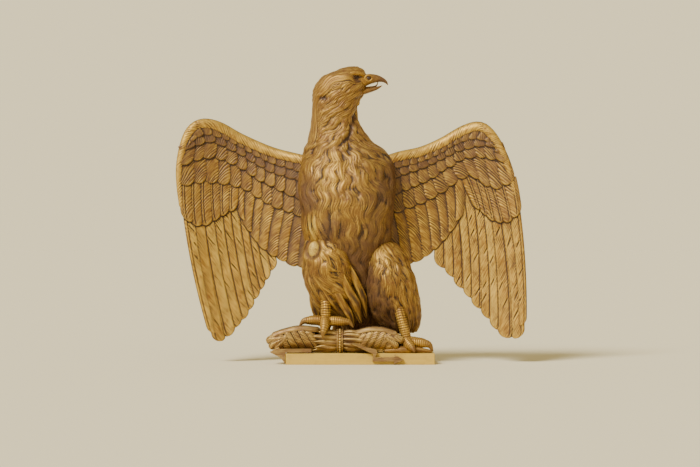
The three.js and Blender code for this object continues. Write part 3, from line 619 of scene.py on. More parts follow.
class Form:
    """A rounded form as a fine net, with a relief over it that locks are carved in."""

    def __init__(self, levels, heights, angles):
        self.levels, self.z, self.angle = levels, np.asarray(heights, float), np.asarray(angles, float)
        s = section(levels, self.z)
        cos, sin = np.cos(self.angle), np.sin(self.angle)
        self.base = np.stack([
            s[:, 0:1] + s[:, 2:3] * cos, s[:, 1:2] + s[:, 3:4] * sin, np.repeat(self.z[:, None], len(cos), 1),
        ], axis=-1)
        round_step = np.roll(self.base, -1, 1) - np.roll(self.base, 1, 1)
        up_step = np.gradient(self.base, axis=0)
        normal = np.cross(round_step, up_step)
        self.normal = normal / np.linalg.norm(normal, axis=-1, keepdims=True)
        self.relief = np.zeros(self.base.shape[:2])
        self.shape = np.zeros(self.base.shape[:2])
        self.toned = np.zeros(self.base.shape[:2])
        # bright: how strongly a painted highlight is laid.
        self.bright = np.zeros(self.base.shape[:2])
        self.strand = self.base.copy()

    def settle(self):
        """Keep the relief so far as the shape that finer locks are carved in."""
        self.shape += blur(self.relief, 1)
        self.relief[:] = 0

    def spread(self, angle, z):
        """Millimetres of surface per radian round the form, and per millimetre of height."""
        a = section(self.levels, z)
        lift = section(self.levels, z + 1)
        round_way = math.hypot(a[2] * math.sin(angle), a[3] * math.cos(angle))
        rise = (lift[0] - a[0] + (lift[2] - a[2]) * math.cos(angle), lift[1] - a[1] + (lift[3] - a[3]) * math.sin(angle))
        return round_way, math.sqrt(1 + min(4.0, rise[0] ** 2 + rise[1] ** 2))

    def lay_lock(self, angle, z, lock, slant_at, rng, course=None):
        """One wavy lock from its root at an angle and height, following the flow down the form, or a course of its
        own: the slant it starts with and how far it turns."""
        steps = 12
        length = lock["length"] * rng.uniform(0.75, 1.25)
        half_width = lock["half_width"] * rng.uniform(0.75, 1.25)
        round_way, up_way = self.spread(angle, z)
        hook = lock["hook"] * rng.choice((-1, 1)) * rng.uniform(0.4, 1.0)
        spine = np.zeros((steps + 1, 2))
        for k in range(steps):
            a, h = angle + spine[k, 0] / round_way, z + spine[k, 1] / up_way
            s = section(self.levels, h)
            if course is None:
                slant = slant_at(s[0] + s[2] * math.cos(a), h, math.sin(a) < 0) + hook * (k / steps) ** 3
            else:
                slant = course[0] + course[1] * k / steps
            spine[k + 1] = spine[k] + length / steps * np.array([math.sin(slant), -math.cos(slant)])
        low, high = spine.min(0) - half_width - 1, spine.max(0) + half_width + 1
        rows = slice(*np.searchsorted(self.z, (z + low[1] / up_way, z + high[1] / up_way)))
        turn = ((self.angle - angle + math.pi) % (2 * math.pi) - math.pi) * round_way
        columns = np.nonzero((turn > low[0]) & (turn < high[0]))[0]
        if rows.start >= rows.stop or len(columns) == 0:
            return
        across, up = np.meshgrid(turn[columns], (self.z[rows] - z) * up_way)
        distance, along, side = nearest_on(spine, across, up)
        share = along / length
        half = half_width * np.sqrt(np.clip(share * 5, 0, 1)) * (1 - share ** 2.0) ** 0.75
        q = side / np.maximum(half, 0.4)
        inside = (np.abs(q) < 1) & (share > 0) & (share < 1)
        q = np.clip(q, -1, 1)
        height = lock["lift"] * np.sin(math.pi * (0.12 + 0.74 * share)) + rng.uniform(-0.2, 0.2) * lock["crown"]
        height = height + lock["crown"] * (1 - q * q) ** 0.7 * np.sqrt(half / half_width)
        shift = rng.uniform(0, 6)
        if lock["strands"]:
            fine = math.pi * lock["strands"] * (q + 0.10 * np.sin(3 * q + shift)) + shift
            strand = (0.5 + 0.5 * np.cos(fine)) ** 1.4 * (0.75 + 0.4 * np.sin(along / 9 + shift))
            height = height - lock["groove"] * strand * ramp(half, 0.6, 3.5) * ramp(share, 0, 0.15)
        patch = np.ix_(range(rows.start, rows.stop), columns)
        under = self.relief[patch]
        over = inside & (height > under)
        self.relief[patch] = np.where(over, height, under)
        lay = np.stack([q * np.sqrt(half * half_width), along, np.full(q.shape, 40 * shift)], axis=-1)
        self.strand[patch] = np.where(over[..., None], lay, self.strand[patch])
        if "toning" in lock:
            self.toned[patch] = np.where(over, lock["toning"], self.toned[patch])

    def lay_curl(self, x, z, start, turn, length, half_width, rng):
        """A lock with a course of its own, whose root is where the front of the form shows at x and z."""
        s = section(self.levels, z)
        angle = -math.acos(max(-0.98, min(0.98, (x - s[0]) / s[2])))
        lock = dict(CURL, length=length, half_width=half_width)
        self.lay_lock(angle, z, lock, None, rng, (math.radians(start), math.radians(turn)))

    def near_spot(self, x, z, wide, high):
        """How near each point is, seen from the front or back, to a spot: one at it, nought far off."""
        p = self.base
        return np.exp(-((p[..., 0] - x) / wide) ** 2 - ((p[..., 2] - z) / high) ** 2)

    def add_to(self, shells, step, low=None, high=None):
        """The part of the form between two heights, each end drawn in under its neighbour."""
        first = 0 if low is None else int(np.searchsorted(self.z, low - 9))
        last = len(self.z) if high is None else int(np.searchsorted(self.z, high + 9))
        rows = slice(first, last)
        z = self.z[rows][:, None]
        sink = np.zeros(z.shape)
        if low is not None:
            sink = sink + 3.5 * ramp(z, low, low - 9)
        if high is not None:
            sink = sink + 3.5 * ramp(z, high, high + 9)
        relief = 0.5 * (self.relief + np.maximum(self.relief, blur(self.relief, round(6 / step)) - 0.9))
        hollow, proud = relief_tones(relief + self.shape, 1.6 / step, 7 / step, 0.95, 0.8)
        # The painted shade in the hollows is halved on the back of the form.
        behind = ramp(np.sin(self.angle), -0.1, 0.35)
        hollow = hollow * (1 - 0.5 * behind)
        # Bright spots are painted highlights, strongest on what stands proud.
        toned = self.toned + 0.2 - self.bright * (0.3 + 0.7 * proud)
        proud = np.clip(proud + np.clip(-toned, 0, 1), 0, 1)
        lift = (relief + self.shape)[rows] - sink
        points = self.base[rows] + self.normal[rows] * lift[..., None]
        ends = np.vstack([points[0].mean(0), points[-1].mean(0)])
        shells.add(np.vstack([points.reshape(-1, 3), ends]), net_faces(*points.shape[:2]),
                   np.r_[hollow[rows].ravel(), 0.5, 0.5], np.r_[proud[rows].ravel(), 0, 0],
                   np.r_[toned[rows].ravel(), 0, 0], np.vstack([self.strand[rows].reshape(-1, 3), ends]))


def angles_round(front_share, count):
    """Angles round a form, closer together on the front (towards -Y) than on the back."""
    front = round(count * front_share)
    rear = count - front
    return np.r_[np.linspace(-math.pi, 0, front, endpoint=False), np.linspace(0, math.pi, rear, endpoint=False)]


def rows_between(low, high, step):
    return np.linspace(low, high, max(4, round((high - low) / (step * COARSE))))


BREAST_BUNDLE = dict(length=105, half_width=19, lift=1.6, crown=5.6, groove=0, strands=0, hook=0.5)
BREAST_LOCK = dict(length=58, half_width=9.0, lift=2.6, crown=2.0, groove=1.1, strands=3, hook=0.4)
CALM_LOCK = dict(length=60, half_width=9.5, lift=1.6, crown=1.2, groove=0.6, strands=4, hook=0.3)
BELLY_LOCK = dict(length=44, half_width=7.5, lift=1.8, crown=1.3, groove=0.8, strands=3, hook=0.3)
NECK_BUNDLE = dict(length=58, half_width=11.5, lift=1.4, crown=4.6, groove=0, strands=0, hook=0.4)
NECK_LOCK = dict(length=40, half_width=6.4, lift=2.2, crown=1.8, groove=0.9, strands=2, hook=0.4)
THIGH_BUNDLE = dict(length=62, half_width=13, lift=1.6, crown=5.2, groove=0, strands=0, hook=0.8)
THIGH_LOCK = dict(length=42, half_width=7.4, lift=2.2, crown=1.8, groove=1.0, strands=3, hook=0.6)
CURL = dict(lift=3.6, crown=1.9, groove=0.9, strands=3, hook=0)

# The flow of the plumage, seen from the front: x, z, and the slant in degrees from straight down, to the right.
BODY_FLOW = [
    (-84, 525, 0), (-86, 495, 0), (-86, 465, -5), (-44, 556, -60), (-30, 545, -35), (-44, 525, -42), (-60, 515, -50),
    (-20, 530, -30), (-30, 505, -48), (-56, 495, -58), (-70, 481, -60), (-40, 481, -50), (-16, 501, -42),
    (-60, 461, -55), (-30, 461, -45), (-44, 441, -40), (-76, 449, -50), (-96, 429, -55), (-84, 415, -40),
    (-110, 415, -42), (-12, 495, 5), (-6, 481, 12), (0, 465, 16), (10, 445, 28), (24, 431, 42), (40, 419, 50),
    (-10, 455, 5), (-20, 425, 4), (-4, 425, 22), (12, 415, 38), (30, 405, 48), (48, 409, 34),
    (-30, 405, 0), (-50, 405, -15), (-70, 401, -24), (-96, 389, -18), (-104, 365, -6), (-80, 365, -10),
    (-50, 365, 0), (-20, 385, 15), (4, 389, 42), (24, 381, 46), (44, 381, 8), (54, 355, -6), (30, 355, 32),
    (0, 355, 20), (-30, 335, 5), (-60, 335, 0), (-90, 325, 10), (-104, 325, 8), (-76, 295, 14), (-50, 295, 6),
    (-20, 305, 6), (4, 315, 14), (24, 321, -6), (40, 315, -18), (28, 285, -20), (4, 275, -9), (-20, 265, -5),
    (-44, 265, 10), (-60, 265, 18), (-70, 245, 22), (-30, 235, 0), (0, 235, -8), (30, 245, -12), (50, 285, -6),
    (-30, 195, -3), (10, 195, -8), (40, 185, -5), (0, 145, -5), (24, 105, 0), (-20, 125, 8),
]
LEFT_THIGH_FLOW = [
    (-70, 235, 25), (-54, 225, 36), (-40, 201, 20), (-84, 201, 0), (-70, 185, 10), (-50, 175, 48), (-30, 165, 38),
    (-70, 155, 28), (-50, 135, 44), (-30, 115, 40), (-20, 89, 20), (-80, 145, 16), (-96, 175, 0), (-96, 135, 8),
    (-40, 75, 24), (-60, 105, 42),
]
RIGHT_THIGH_FLOW = [
    (40, 225, 5), (60, 215, 15), (76, 185, 15), (88, 145, 10), (94, 105, 0), (90, 75, -12), (50, 175, 0),
    (40, 165, -22), (24, 125, -15), (50, 125, 5), (70, 115, 5), (70, 85, -5), (40, 85, -5), (20, 89, -8),
    (30, 195, -15),
]


def flowing(guides, wave, wave_length, seed):
    """The slant of the plumage at any place, drawn from the guides, with a wave running down it."""
    table = np.array(guides, float)
    turns = np.radians(table[:, 2])

    def slant_at(x, z, front):
        near = 1 / ((table[:, 0] - x) ** 2 + (table[:, 1] - z) ** 2 + 60) ** 1.6
        slant = math.atan2((near * np.sin(turns)).sum(), (near * np.cos(turns)).sum())
        drift = float(waves(np.array(x), np.array(z), 95, seed))
        ripple = wave * math.sin(2 * math.pi * z / wave_length + 1.8 * drift)
        return (slant if front else 0.25 * slant) + ripple
    return slant_at


def clothe(form, lock, low, high, rise, spacing, slant_at, rng, size_at=None, under=True):
    """Rows of locks over a form, from its foot to its head, each row over the one below, on a lower coat of locks."""
    if under:
        coat = dict(lock, lift=0.5 * lock["lift"], crown=0.75 * lock["crown"])
        clothe(form, coat, low, high, 0.8 * rise, 0.8 * spacing, slant_at, rng, size_at, under=False)
    z = low
    k = 0
    while z < high:
        size = 1.0 if size_at is None else size_at(z)
        s = section(form.levels, z)
        count = max(7, round(math.pi * (s[2] + s[3]) / (spacing * size)))
        this = dict(lock)
        for key in ("length", "half_width", "lift", "crown"):
            this[key] = lock[key] * size
        for i in range(count):
            angle = 2 * math.pi * (i + 0.5 * (k % 2) + rng.uniform(-0.28, 0.28)) / count - math.pi
            form.lay_lock(angle, z + rng.uniform(-0.3, 0.3) * rise, this, slant_at, rng)
        z += rise * size
        k += 1


NECK_SEAM = 414
CAP_EDGE = [(14, 566), (4, 560), (-13, 556), (-23, 559), (-35, 556), (-47, 554), (-54, 549), (-60, 541), (-68, 534),
            (-76, 524), (-80, 510), (-80, 485), (-80, 460), (-83, 440), (-92, 425)]
NECK_FOLD = [(-12, 512), (-16, 500), (-22, 478), (-24, 458), (-34, 440), (-48, 423)]


def head_carving(form):
    """The smooth cap of the head, its eye sockets and cheeks, the hollow at the nape and the fold of the neck."""
    x, z = form.base[..., 0], form.base[..., 2]
    rows = slice(int(np.searchsorted(form.z, 420)), None)
    distance, along, side = nearest_on(smooth_curve(CAP_EDGE, 6), x[rows], z[rows])
    beyond = (x[rows] > -52) & (z[rows] < 552)
    over = np.where((side > 0) & ~beyond, distance, -distance)
    behind = ramp(np.sin(form.angle), 0.1, 0.6) * ramp(form.z[rows], 575, 560)[:, None]
    cap = ramp(over, -1.0, 1.2) * ramp(form.z[rows], 424, 440)[:, None] * (1 - behind)
    fine = 0.3 * np.cos(2 * math.pi * distance / 4.2 + 0.9 * np.sin(along / 11))
    smooth = 3.4 + fine - 0.9 * np.exp(-((over - 2.5) / 1.5) ** 2)
    form.relief[rows] = form.relief[rows] * (1 - cap) + smooth * cap
    form.shape[rows] = form.shape[rows] * (1 - cap) + 2.4 * cap
    lay = np.stack([distance + 0.8 * form.base[rows][..., 1], along, 0 * along], axis=-1)
    form.strand[rows] = np.where(cap[..., None] > 0.5, lay, form.strand[rows])
    form.relief[rows] -= 1.6 * np.exp(-((over + 1.8) / 1.6) ** 2)
    fold_distance, _, fold_side = nearest_on(smooth_curve(NECK_FOLD, 6), x[rows], z[rows])
    front = form.base[rows][..., 1] < -6
    right = np.where(fold_side < 0, fold_distance, -fold_distance)
    fold = 2.2 * np.exp(-((right + 9) / 8) ** 2) - 4.2 * np.exp(-((right - 3) / 4) ** 2)
    begun = ramp(form.z[rows], 420, 438)[:, None]
    form.shape[rows] += np.where(front, fold, 0) * begun
    # Painted shade: brown in the valley of the neck's fold.
    form.toned[rows] += (np.where(front, 0.7 * np.exp(-((right - 3) / 4.5) ** 2), 0) - form.toned[rows]) * begun
    socket = form.near_spot(-5, 568, 10, 10)
    cheek = form.near_spot(-22, 546, 17, 10)
    facing = ramp(form.base[..., 1], -4, -14)
    nape = form.near_spot(-70, 526, 7.5, 5.5) * facing
    lock = form.near_spot(-78, 533, 4, 3.5) * facing
    form.shape += 1.6 * cheek - 10 * socket - 4.0 * nape + 2.0 * lock
    form.toned[rows] -= 0.12 * cap * ramp(form.z[rows], 440, 540)[:, None]
    # Painted shade: the eye sockets and the hollow at the nape are painted dark brown.
    form.toned = np.maximum(form.toned, np.maximum(0.95 * ramp(socket, 0.1, 0.7), 0.8 * ramp(nape, 0.2, 0.8)) - 0.3)
    form.toned += 0.3 * (ramp(socket, 0.1, 0.7) + ramp(nape, 0.2, 0.8))


# Where the breast is painted brown, partly as painted shade: x, z, half width, half height, strength.
BREAST_BROWN = [
    (-106, 322, 18, 15, 0.5), (-80, 308, 16, 10, 0.4), (-50, 276, 24, 16, 0.4), (38, 345, 13, 44, 0.45),
    (18, 300, 15, 32, 0.3), (-66, 262, 10, 30, 0.45), (-20, 330, 26, 9, 0.2), (-92, 352, 14, 10, 0.2),
]


def breast_brown_and_shade(form):
    """Painted shade, as brown, in the deep places between the thighs, down the belly and beside the wings; brown
    patches; and painted highlights on the upper breast and on the tuft above the left knee.
    """
    x, y, z = form.base[..., 0], form.base[..., 1], form.base[..., 2]
    between = ramp(z, 270, 120) * np.exp(-((x - 12) / 46) ** 2)
    flank = np.exp(-((x - 62) / 11) ** 2) * ramp(z, 225, 260) * ramp(z, 425, 395)
    left = 0.6 * np.exp(-((x + 100) / 14) ** 2) * ramp(z, 250, 300) * ramp(z, 385, 350)
    belly = 0.45 * ramp(z, 300, 220)
    tuft = form.near_spot(-87, 268, 12, 26)
    brown = np.clip(np.maximum(0.95 * between, 0.75 * flank) + belly * 1.1 + left, 0, 1) * (1 - 0.9 * tuft)
    # Painted highlights on the upper breast and on the tuft above the left knee.
    bright = 0.12 * form.near_spot(-44, 384, 30, 44)
    for patch in BREAST_BROWN:
        brown = brown + patch[4] * form.near_spot(*patch[:4]) * ramp(y, 10, -10)
    brown = brown + 0.12 + 0.22 * ramp(x, -30, 40) * ramp(z, 440, 400)
    form.toned = np.maximum(form.toned, brown) - np.where(y < 0, bright, 0)
    form.bright = np.where(y < 0, 0.5 * form.near_spot(-46, 370, 24, 22) + 3.2 * tuft, 0)


def body(gold, rng):
    """The breast, back, neck and head as one run of plumage, made as two pieces that meet at the neck's root."""
    heights = np.r_[rows_between(46.5, NECK_SEAM, 1.4)[:-1], rows_between(NECK_SEAM, 586.6, 1.08)]
    form = Form(TORSO_LEVELS, heights, angles_round(0.61, round(308 / COARSE)))
    form.relief += 1.2
    calm = flowing(BODY_FLOW, 0.55, 46, 4)
    tight = flowing(BODY_FLOW, 0.30, 34, 8)

    def slant_at(x, z, front):
        return (tight if z > NECK_SEAM else calm)(x, z, front)

    smaller = lambda z: 1.15 - 0.3 * float(ramp(z, 430, 540))
    clothe(form, BREAST_BUNDLE, 90, 440, 40, 30, slant_at, rng)
    clothe(form, NECK_BUNDLE, 440, 570, 22, 19, slant_at, rng, smaller)
    form.settle()
    clothe(form, BELLY_LOCK, 70, 262, 17, 12.5, slant_at, rng)
    clothe(form, CALM_LOCK, 255, 350, 22, 15, slant_at, rng)
    clothe(form, BREAST_LOCK, 345, 440, 21, 14, slant_at, rng)
    clothe(form, NECK_LOCK, 425, 576, 15, 10.5, slant_at, rng, smaller)
    for curl in BREAST_CURLS:
        form.lay_curl(*curl, rng)
    breast_brown_and_shade(form)
    head_carving(form)
    shells = Shells()
    form.add_to(shells, 1.25, high=NECK_SEAM)
    shells.build("eagle_breast_and_back", gold, "eagle")
    form.toned += 0.2
    shells = Shells()
    form.add_to(shells, 1.1, low=NECK_SEAM)
    face_details(shells)
    shells.build("eagle_neck_and_head", gold, "eagle")


def thigh(shells, levels, low, high, guides, curls, rng, shade, spot=None):
    step = 1.22
    form = Form(levels, rows_between(low + 0.5, high - 0.5, step), angles_round(0.64, round(184 / COARSE)))
    form.relief += 1.2
    slant_at = flowing(guides, 0.34, 40, 6)
    clothe(form, THIGH_BUNDLE, low + 30, high + 10, 26, 21, slant_at, rng)
    form.settle()
    clothe(form, THIGH_LOCK, low + 26, high + 12, 16, 11.5, slant_at, rng)
    for curl in curls:
        form.lay_curl(*curl, rng)
    x, z = form.base[..., 0], form.base[..., 2]
    fade = ramp(form.z, high - 4, high - 22)[:, None]
    form.relief *= fade
    form.shape = 2.4 + (form.shape - 2.4) * fade
    # Painted shade: brown on the inner side of the thigh; the thigh is also browner towards its foot.
    inner = ramp(shade["side"] * (x - shade["x"] - shade["lean"] * (shade["z"] - z)), -8, 12) * ramp(z, 222, 185)
    form.toned = np.clip(0.95 * inner + 0.12 + 0.3 * ramp(z, 140, 80), 0, 1)
    # Painted highlight: a bright spot on the thigh.
    form.bright = 0.75 * form.near_spot(*shade["bright"])
    if spot is not None:
        apart = ((x - spot["at"][0]) / 13.5) ** 2 + ((z - spot["at"][2]) / 18.5) ** 2
        calm = np.where(form.base[..., 1] < form.levels[3][2], np.exp(-apart ** 3), 0)
        form.relief *= 1 - calm
        form.shape += (0.4 - form.shape) * calm
        # Painted shade: a dark ring in the crease round the knee boss.
        form.toned += 0.6 * np.where(form.base[..., 1] < form.levels[3][2], np.exp(-(8 * (np.sqrt(apart) - 1)) ** 2), 0)
    form.add_to(shells, step)


# Bars: round things that follow a line, made by a tree of nodes

class Tree:
    """A short way to write a tree of geometry nodes."""

    def __init__(self, name, sockets):
        self.group = bpy.data.node_groups.new(name, "GeometryNodeTree")
        for label, kind in sockets.items():
            self.group.interface.new_socket(label, in_out="INPUT", socket_type="NodeSocket" + kind)
        self.group.interface.new_socket("Geometry", in_out="OUTPUT", socket_type="NodeSocketGeometry")
        self.given = self.group.nodes.new("NodeGroupInput").outputs

    def node(self, kind, out, settings=(), **sockets):
        """A node of a kind with its settings, its sockets linked or set, and the output of a name handed back."""
        node = self.group.nodes.new(kind)
        for label, value in dict(settings).items():
            setattr(node, label, value)
        for label, value in sockets.items():
            label = label.replace("_", " ")
            socket = node.inputs[int(label[5:])] if label.startswith("Value") and label != "Value" else node.inputs[label]
            if isinstance(value, bpy.types.NodeSocket):
                self.group.links.new(value, socket)
            else:
                socket.default_value = value
        return node.outputs[out]

    def maths(self, operation, *values):
        sockets = {f"Value{k}": value for k, value in enumerate(values)}
        return self.node("ShaderNodeMath", "Value", {"operation": operation}, **sockets)

    def close(self, geometry, material):
        """End in real faces with their material."""
        real = self.node("GeometryNodeRealizeInstances", "Geometry", Geometry=geometry)
        clad = self.node("GeometryNodeSetMaterial", "Geometry", Geometry=real, Material=material)
        end = self.group.nodes.new("NodeGroupOutput")
        self.group.links.new(clad, end.inputs["Geometry"])
        return self.group


def grown(name, group, values, seed_mesh):
    """The plain mesh that a tree makes from a seed with the given named values."""
    seed = bpy.data.objects.new(name, seed_mesh)
    bpy.context.collection.objects.link(seed)
    modifier = seed.modifiers.new("made", "NODES")
    modifier.node_group = group
    for item in group.interface.items_tree:
        if item.item_type == "SOCKET" and item.in_out == "INPUT" and item.name in values:
            modifier[item.identifier] = values[item.name]
    bpy.context.view_layer.update()
    mesh = bpy.data.meshes.new_from_object(seed.evaluated_get(bpy.context.evaluated_depsgraph_get()))
    seed.modifiers.clear()
    bpy.data.objects.remove(seed)
    bpy.data.meshes.remove(seed_mesh)
    return mesh


def bar_tree(material):
    """Sweeps a round section along a line, with ribs across it and flutes along it."""
    t = Tree("bar", {
        "Geometry": "Geometry", "Sides": "Int", "Rib Pitch": "Float", "Rib Depth": "Float", "Rib End": "Float",
        "Flutes": "Float", "Flute Depth": "Float", "Flute Twist": "Float",
    })
    rail = t.node("GeometryNodeMeshToCurve", "Curve", Mesh=t.given["Geometry"])
    share = t.node("GeometryNodeSplineParameter", "Factor")
    length = t.node("GeometryNodeSplineParameter", "Length")
    step = t.maths("MULTIPLY", t.maths("DIVIDE", length, t.given["Rib Pitch"]), math.pi)
    rib = t.maths("SUBTRACT", t.maths("SQRT", t.maths("ABSOLUTE", t.maths("SINE", step))), 0.7)
    rib = t.maths("MULTIPLY", t.maths("MULTIPLY", rib, t.given["Rib Depth"]),
                  t.maths("LESS_THAN", share, t.given["Rib End"]))
    for label, value in (("rib", rib), ("share", share), ("length", length)):
        rail = t.node("GeometryNodeStoreNamedAttribute", "Geometry", Geometry=rail, Name=label, Value=value)
    thickness = t.node("GeometryNodeInputNamedAttribute", "Attribute", Name="thickness")
    radius = t.maths("ADD", thickness, t.node("GeometryNodeInputNamedAttribute", "Attribute", Name="rib"))
    round_section = t.node("GeometryNodeCurvePrimitiveCircle", "Curve", Resolution=t.given["Sides"], Radius=1.0)
    turn = t.node("GeometryNodeInputIndex", "Index")
    turn = t.maths("DIVIDE", t.maths("MULTIPLY", turn, 2 * math.pi), t.given["Sides"])
    round_section = t.node("GeometryNodeStoreNamedAttribute", "Geometry", Geometry=round_section, Name="turn", Value=turn)
    skin = t.node("GeometryNodeCurveToMesh", "Mesh", Curve=rail, Profile_Curve=round_section, Scale=radius,
                  Fill_Caps=True)
    swept = {k: t.node("GeometryNodeInputNamedAttribute", "Attribute", Name=k) for k in ("turn", "length", "rib", "share")}
    wave = t.maths("ADD", t.maths("MULTIPLY", swept["turn"], t.given["Flutes"]),
                   t.maths("MULTIPLY", swept["length"], t.given["Flute Twist"]))
    swell = t.maths("SINE", t.maths("ADD", swept["turn"], t.maths("MULTIPLY", swept["length"], 0.11)))
    flute = t.maths("ADD", t.maths("COSINE", wave), t.maths("MULTIPLY", t.maths("COSINE", t.maths("ADD", wave, wave)), 0.35))
    flute = t.maths("MULTIPLY", flute, t.maths("ADD", t.maths("MULTIPLY", swell, 0.45), 0.55))
    flute = t.maths("MULTIPLY", flute, t.given["Flute Depth"])
    flute = t.maths("MULTIPLY", flute, t.maths("MINIMUM", t.maths("MULTIPLY", swept["share"], 6.0), 1.0))
    raised = t.maths("ADD", swept["rib"], t.maths("MULTIPLY", flute, 0.7))
    skin = t.node("GeometryNodeStoreNamedAttribute", "Geometry", Geometry=skin, Name="raised", Value=raised)
    normal = t.node("GeometryNodeInputNormal", "Normal")
    offset = t.node("ShaderNodeVectorMath", "Vector", {"operation": "SCALE"}, Vector=normal, Scale=flute)
    skin = t.node("GeometryNodeSetPosition", "Geometry", Geometry=skin, Offset=offset)
    return t.close(skin, material)


def values_of(mesh, name):
    out = np.zeros(len(mesh.vertices))
    mesh.attributes[name].data.foreach_get("value", out)
    return out


def bar(shells, points, radii, sides=24, rings=40, ribs=(1, 0, 0), flutes=(0, 0, 0), toned=0.0):
    """A round bar along a smooth line. ribs are their pitch, depth and end share; flutes their number, depth, twist."""
    sides, rings = max(8, round(sides / COARSE)), max(6, round(rings / COARSE))
    line = even_line(points, rings)
    share = np.linspace(0, 1, rings)
    seed = bpy.data.meshes.new("rail")
    seed.from_pydata(line.tolist(), [(k, k + 1) for k in range(rings - 1)], [])
    seed.attributes.new("thickness", "FLOAT", "POINT").data.foreach_set(
        "value", np.interp(share, np.linspace(0, 1, len(radii)), radii))
    mesh = grown("bar", BAR_TREE, {
        "Sides": sides, "Rib Pitch": float(ribs[0]), "Rib Depth": float(ribs[1]), "Rib End": float(ribs[2]),
        "Flutes": float(flutes[0]), "Flute Depth": float(flutes[1]), "Flute Twist": float(flutes[2]),
    }, seed)
    mesh.calc_loop_triangles()
    at = np.zeros(3 * len(mesh.vertices))
    mesh.vertices.foreach_get("co", at)
    faces = np.zeros(3 * len(mesh.loop_triangles), int)
    mesh.loop_triangles.foreach_get("vertices", faces)
    raised, turn, length, down = (values_of(mesh, name) for name in ("raised", "turn", "length", "share"))
    brown = np.interp(down, np.linspace(0, 1, len(np.atleast_1d(toned))), np.atleast_1d(toned))
    lay = np.column_stack([turn * max(radii), length, np.full(len(turn), 7.0 * line[0].sum())])
    shells.add(at.reshape(-1, 3), faces.reshape(-1, 3), np.clip(-raised / 0.8, 0, 1) * 0.9,
               np.clip(raised / 0.8, 0, 1) + np.clip(-brown, 0, 1), brown, lay)
    bpy.data.meshes.remove(mesh)


def legs(shells):
    for line in (LEFT_SHANK, RIGHT_SHANK):
        bar(shells, line, [SHANK["radius"]] * 3, 24, 100, ribs=(SHANK["scute"], 1.5, 1))
    for toes, radii in ((LEFT_TOES, LEFT_TOE_RADII), (RIGHT_TOES, RIGHT_TOE_RADII)):
        for line in toes:
            bar(shells, line, radii, 20, 88, ribs=(3.9, 0.9, 0.76), toned=[0, 0, 0, 0.1, 0.6, 0.7])
    bar(shells, FOOT_PAD["line"], FOOT_PAD["radii"], 24, 40, toned=0.45)


def beak_part(shells, sections, tip_hook, toned):
    rings, sides = round(70 / COARSE), round(36 / COARSE)
    table = smooth_curve([(x, z, h, w) for x, z, h, w in sections], 24)
    lengths = lengths_along(table[:, :2])
    at = np.linspace(0, lengths[-1], rings)
    x, z, half_height, half_width = [np.interp(at, lengths, table[:, k]) for k in range(4)]
    centre = np.column_stack([x, z])
    heading = np.gradient(centre, axis=0)
    heading /= np.linalg.norm(heading, axis=1)[:, None]
    lean = ramp(np.linspace(0, 1, rings), 0.55, 1.0)[:, None]
    up = np.column_stack([-heading[:, 1], heading[:, 0]]) * lean + np.array([0.0, 1.0]) * (1 - lean)
    turn = np.linspace(0, 2 * math.pi, sides, endpoint=False)
    cos, sin = np.cos(turn), np.sin(turn)
    wide = np.sign(cos) * np.abs(cos) ** 0.9
    tall = np.where(sin > 0, np.abs(sin) ** tip_hook, -np.abs(sin) ** 0.75)
    px = x[:, None] + up[:, :1] * half_height[:, None] * tall
    pz = z[:, None] + up[:, 1:] * half_height[:, None] * tall
    py = MIDLINE_Y + half_width[:, None] * wide
    points = np.stack([px, py, pz], axis=-1)
    brown = np.repeat(np.interp(x, *toned), sides)
    shells.add(np.vstack([points.reshape(-1, 3), points[0].mean(0), points[-1].mean(0)]), net_faces(rings, sides),
               toned=np.r_[brown, 0, 1])


def ball(shells, at, radii, hollow=0.0, proud=0.0, toned=0.0):
    rings, sides = round(26 / COARSE), round(36 / COARSE)
    up = np.linspace(-math.pi / 2, math.pi / 2, rings + 2)[1:-1]
    turn = np.linspace(0, 2 * math.pi, sides, endpoint=False)
    points = np.stack([
        at[0] + radii[0] * np.cos(up)[:, None] * np.cos(turn),
        at[1] + radii[1] * np.cos(up)[:, None] * np.sin(turn),
        at[2] + radii[2] * np.sin(up)[:, None] * np.ones_like(turn),
    ], axis=-1)
    poles = np.array([[at[0], at[1], at[2] - radii[2]], [at[0], at[1], at[2] + radii[2]]])
    shells.add(np.vstack([points.reshape(-1, 3), poles]), net_faces(rings, sides), hollow, proud, toned)


NOSTRIL = dict(x=17.0, z=567.5, y=12.6, radius=5.6, rim=2.2)


def face_details(shells):
    """The open beak with its cere and nostrils, the tongue, and the eyes under their brows."""
    beak_part(shells, UPPER_BEAK, 0.9, ([10, 26, 48], [0.0, 0.6, 1.0]))
    beak_part(shells, LOWER_BEAK, 0.5, ([0, 20, 44], [0.25, 0.55, 0.85]))
    bar(shells, TONGUE["line"], TONGUE["radii"], 16, 30, toned=0.8)
    for side in (-1, 1):
        ball(shells, (EYE["x"] + 2, MIDLINE_Y + side * 12.5, EYE["z"]), (5.2, 5.4, 5.0), hollow=0.6, toned=1.0)
        line = [(x, MIDLINE_Y + side * y, z) for x, y, z in BROW["line"]]
        bar(shells, line, BROW["radii"], 16, 30)
        n = NOSTRIL
        turn = np.linspace(0, 2 * math.pi, 25)
        ring = [(n["x"] + 1.25 * n["radius"] * math.cos(a), MIDLINE_Y + side * (n["y"] - 0.10 * n["radius"] * math.cos(a)),
                 n["z"] + n["radius"] * math.sin(a)) for a in turn]
        bar(shells, ring, [0.7 * n["rim"], n["rim"], 0.8 * n["rim"]], 12, 60, toned=-0.3)
        # Painted shade: a dark ball in each nostril stands for the shade inside its hole.
        ball(shells, (n["x"], MIDLINE_Y + side * (n["y"] + 0.2), n["z"]), (4.4, 1.6, 3.6), hollow=1.0, toned=1.0)


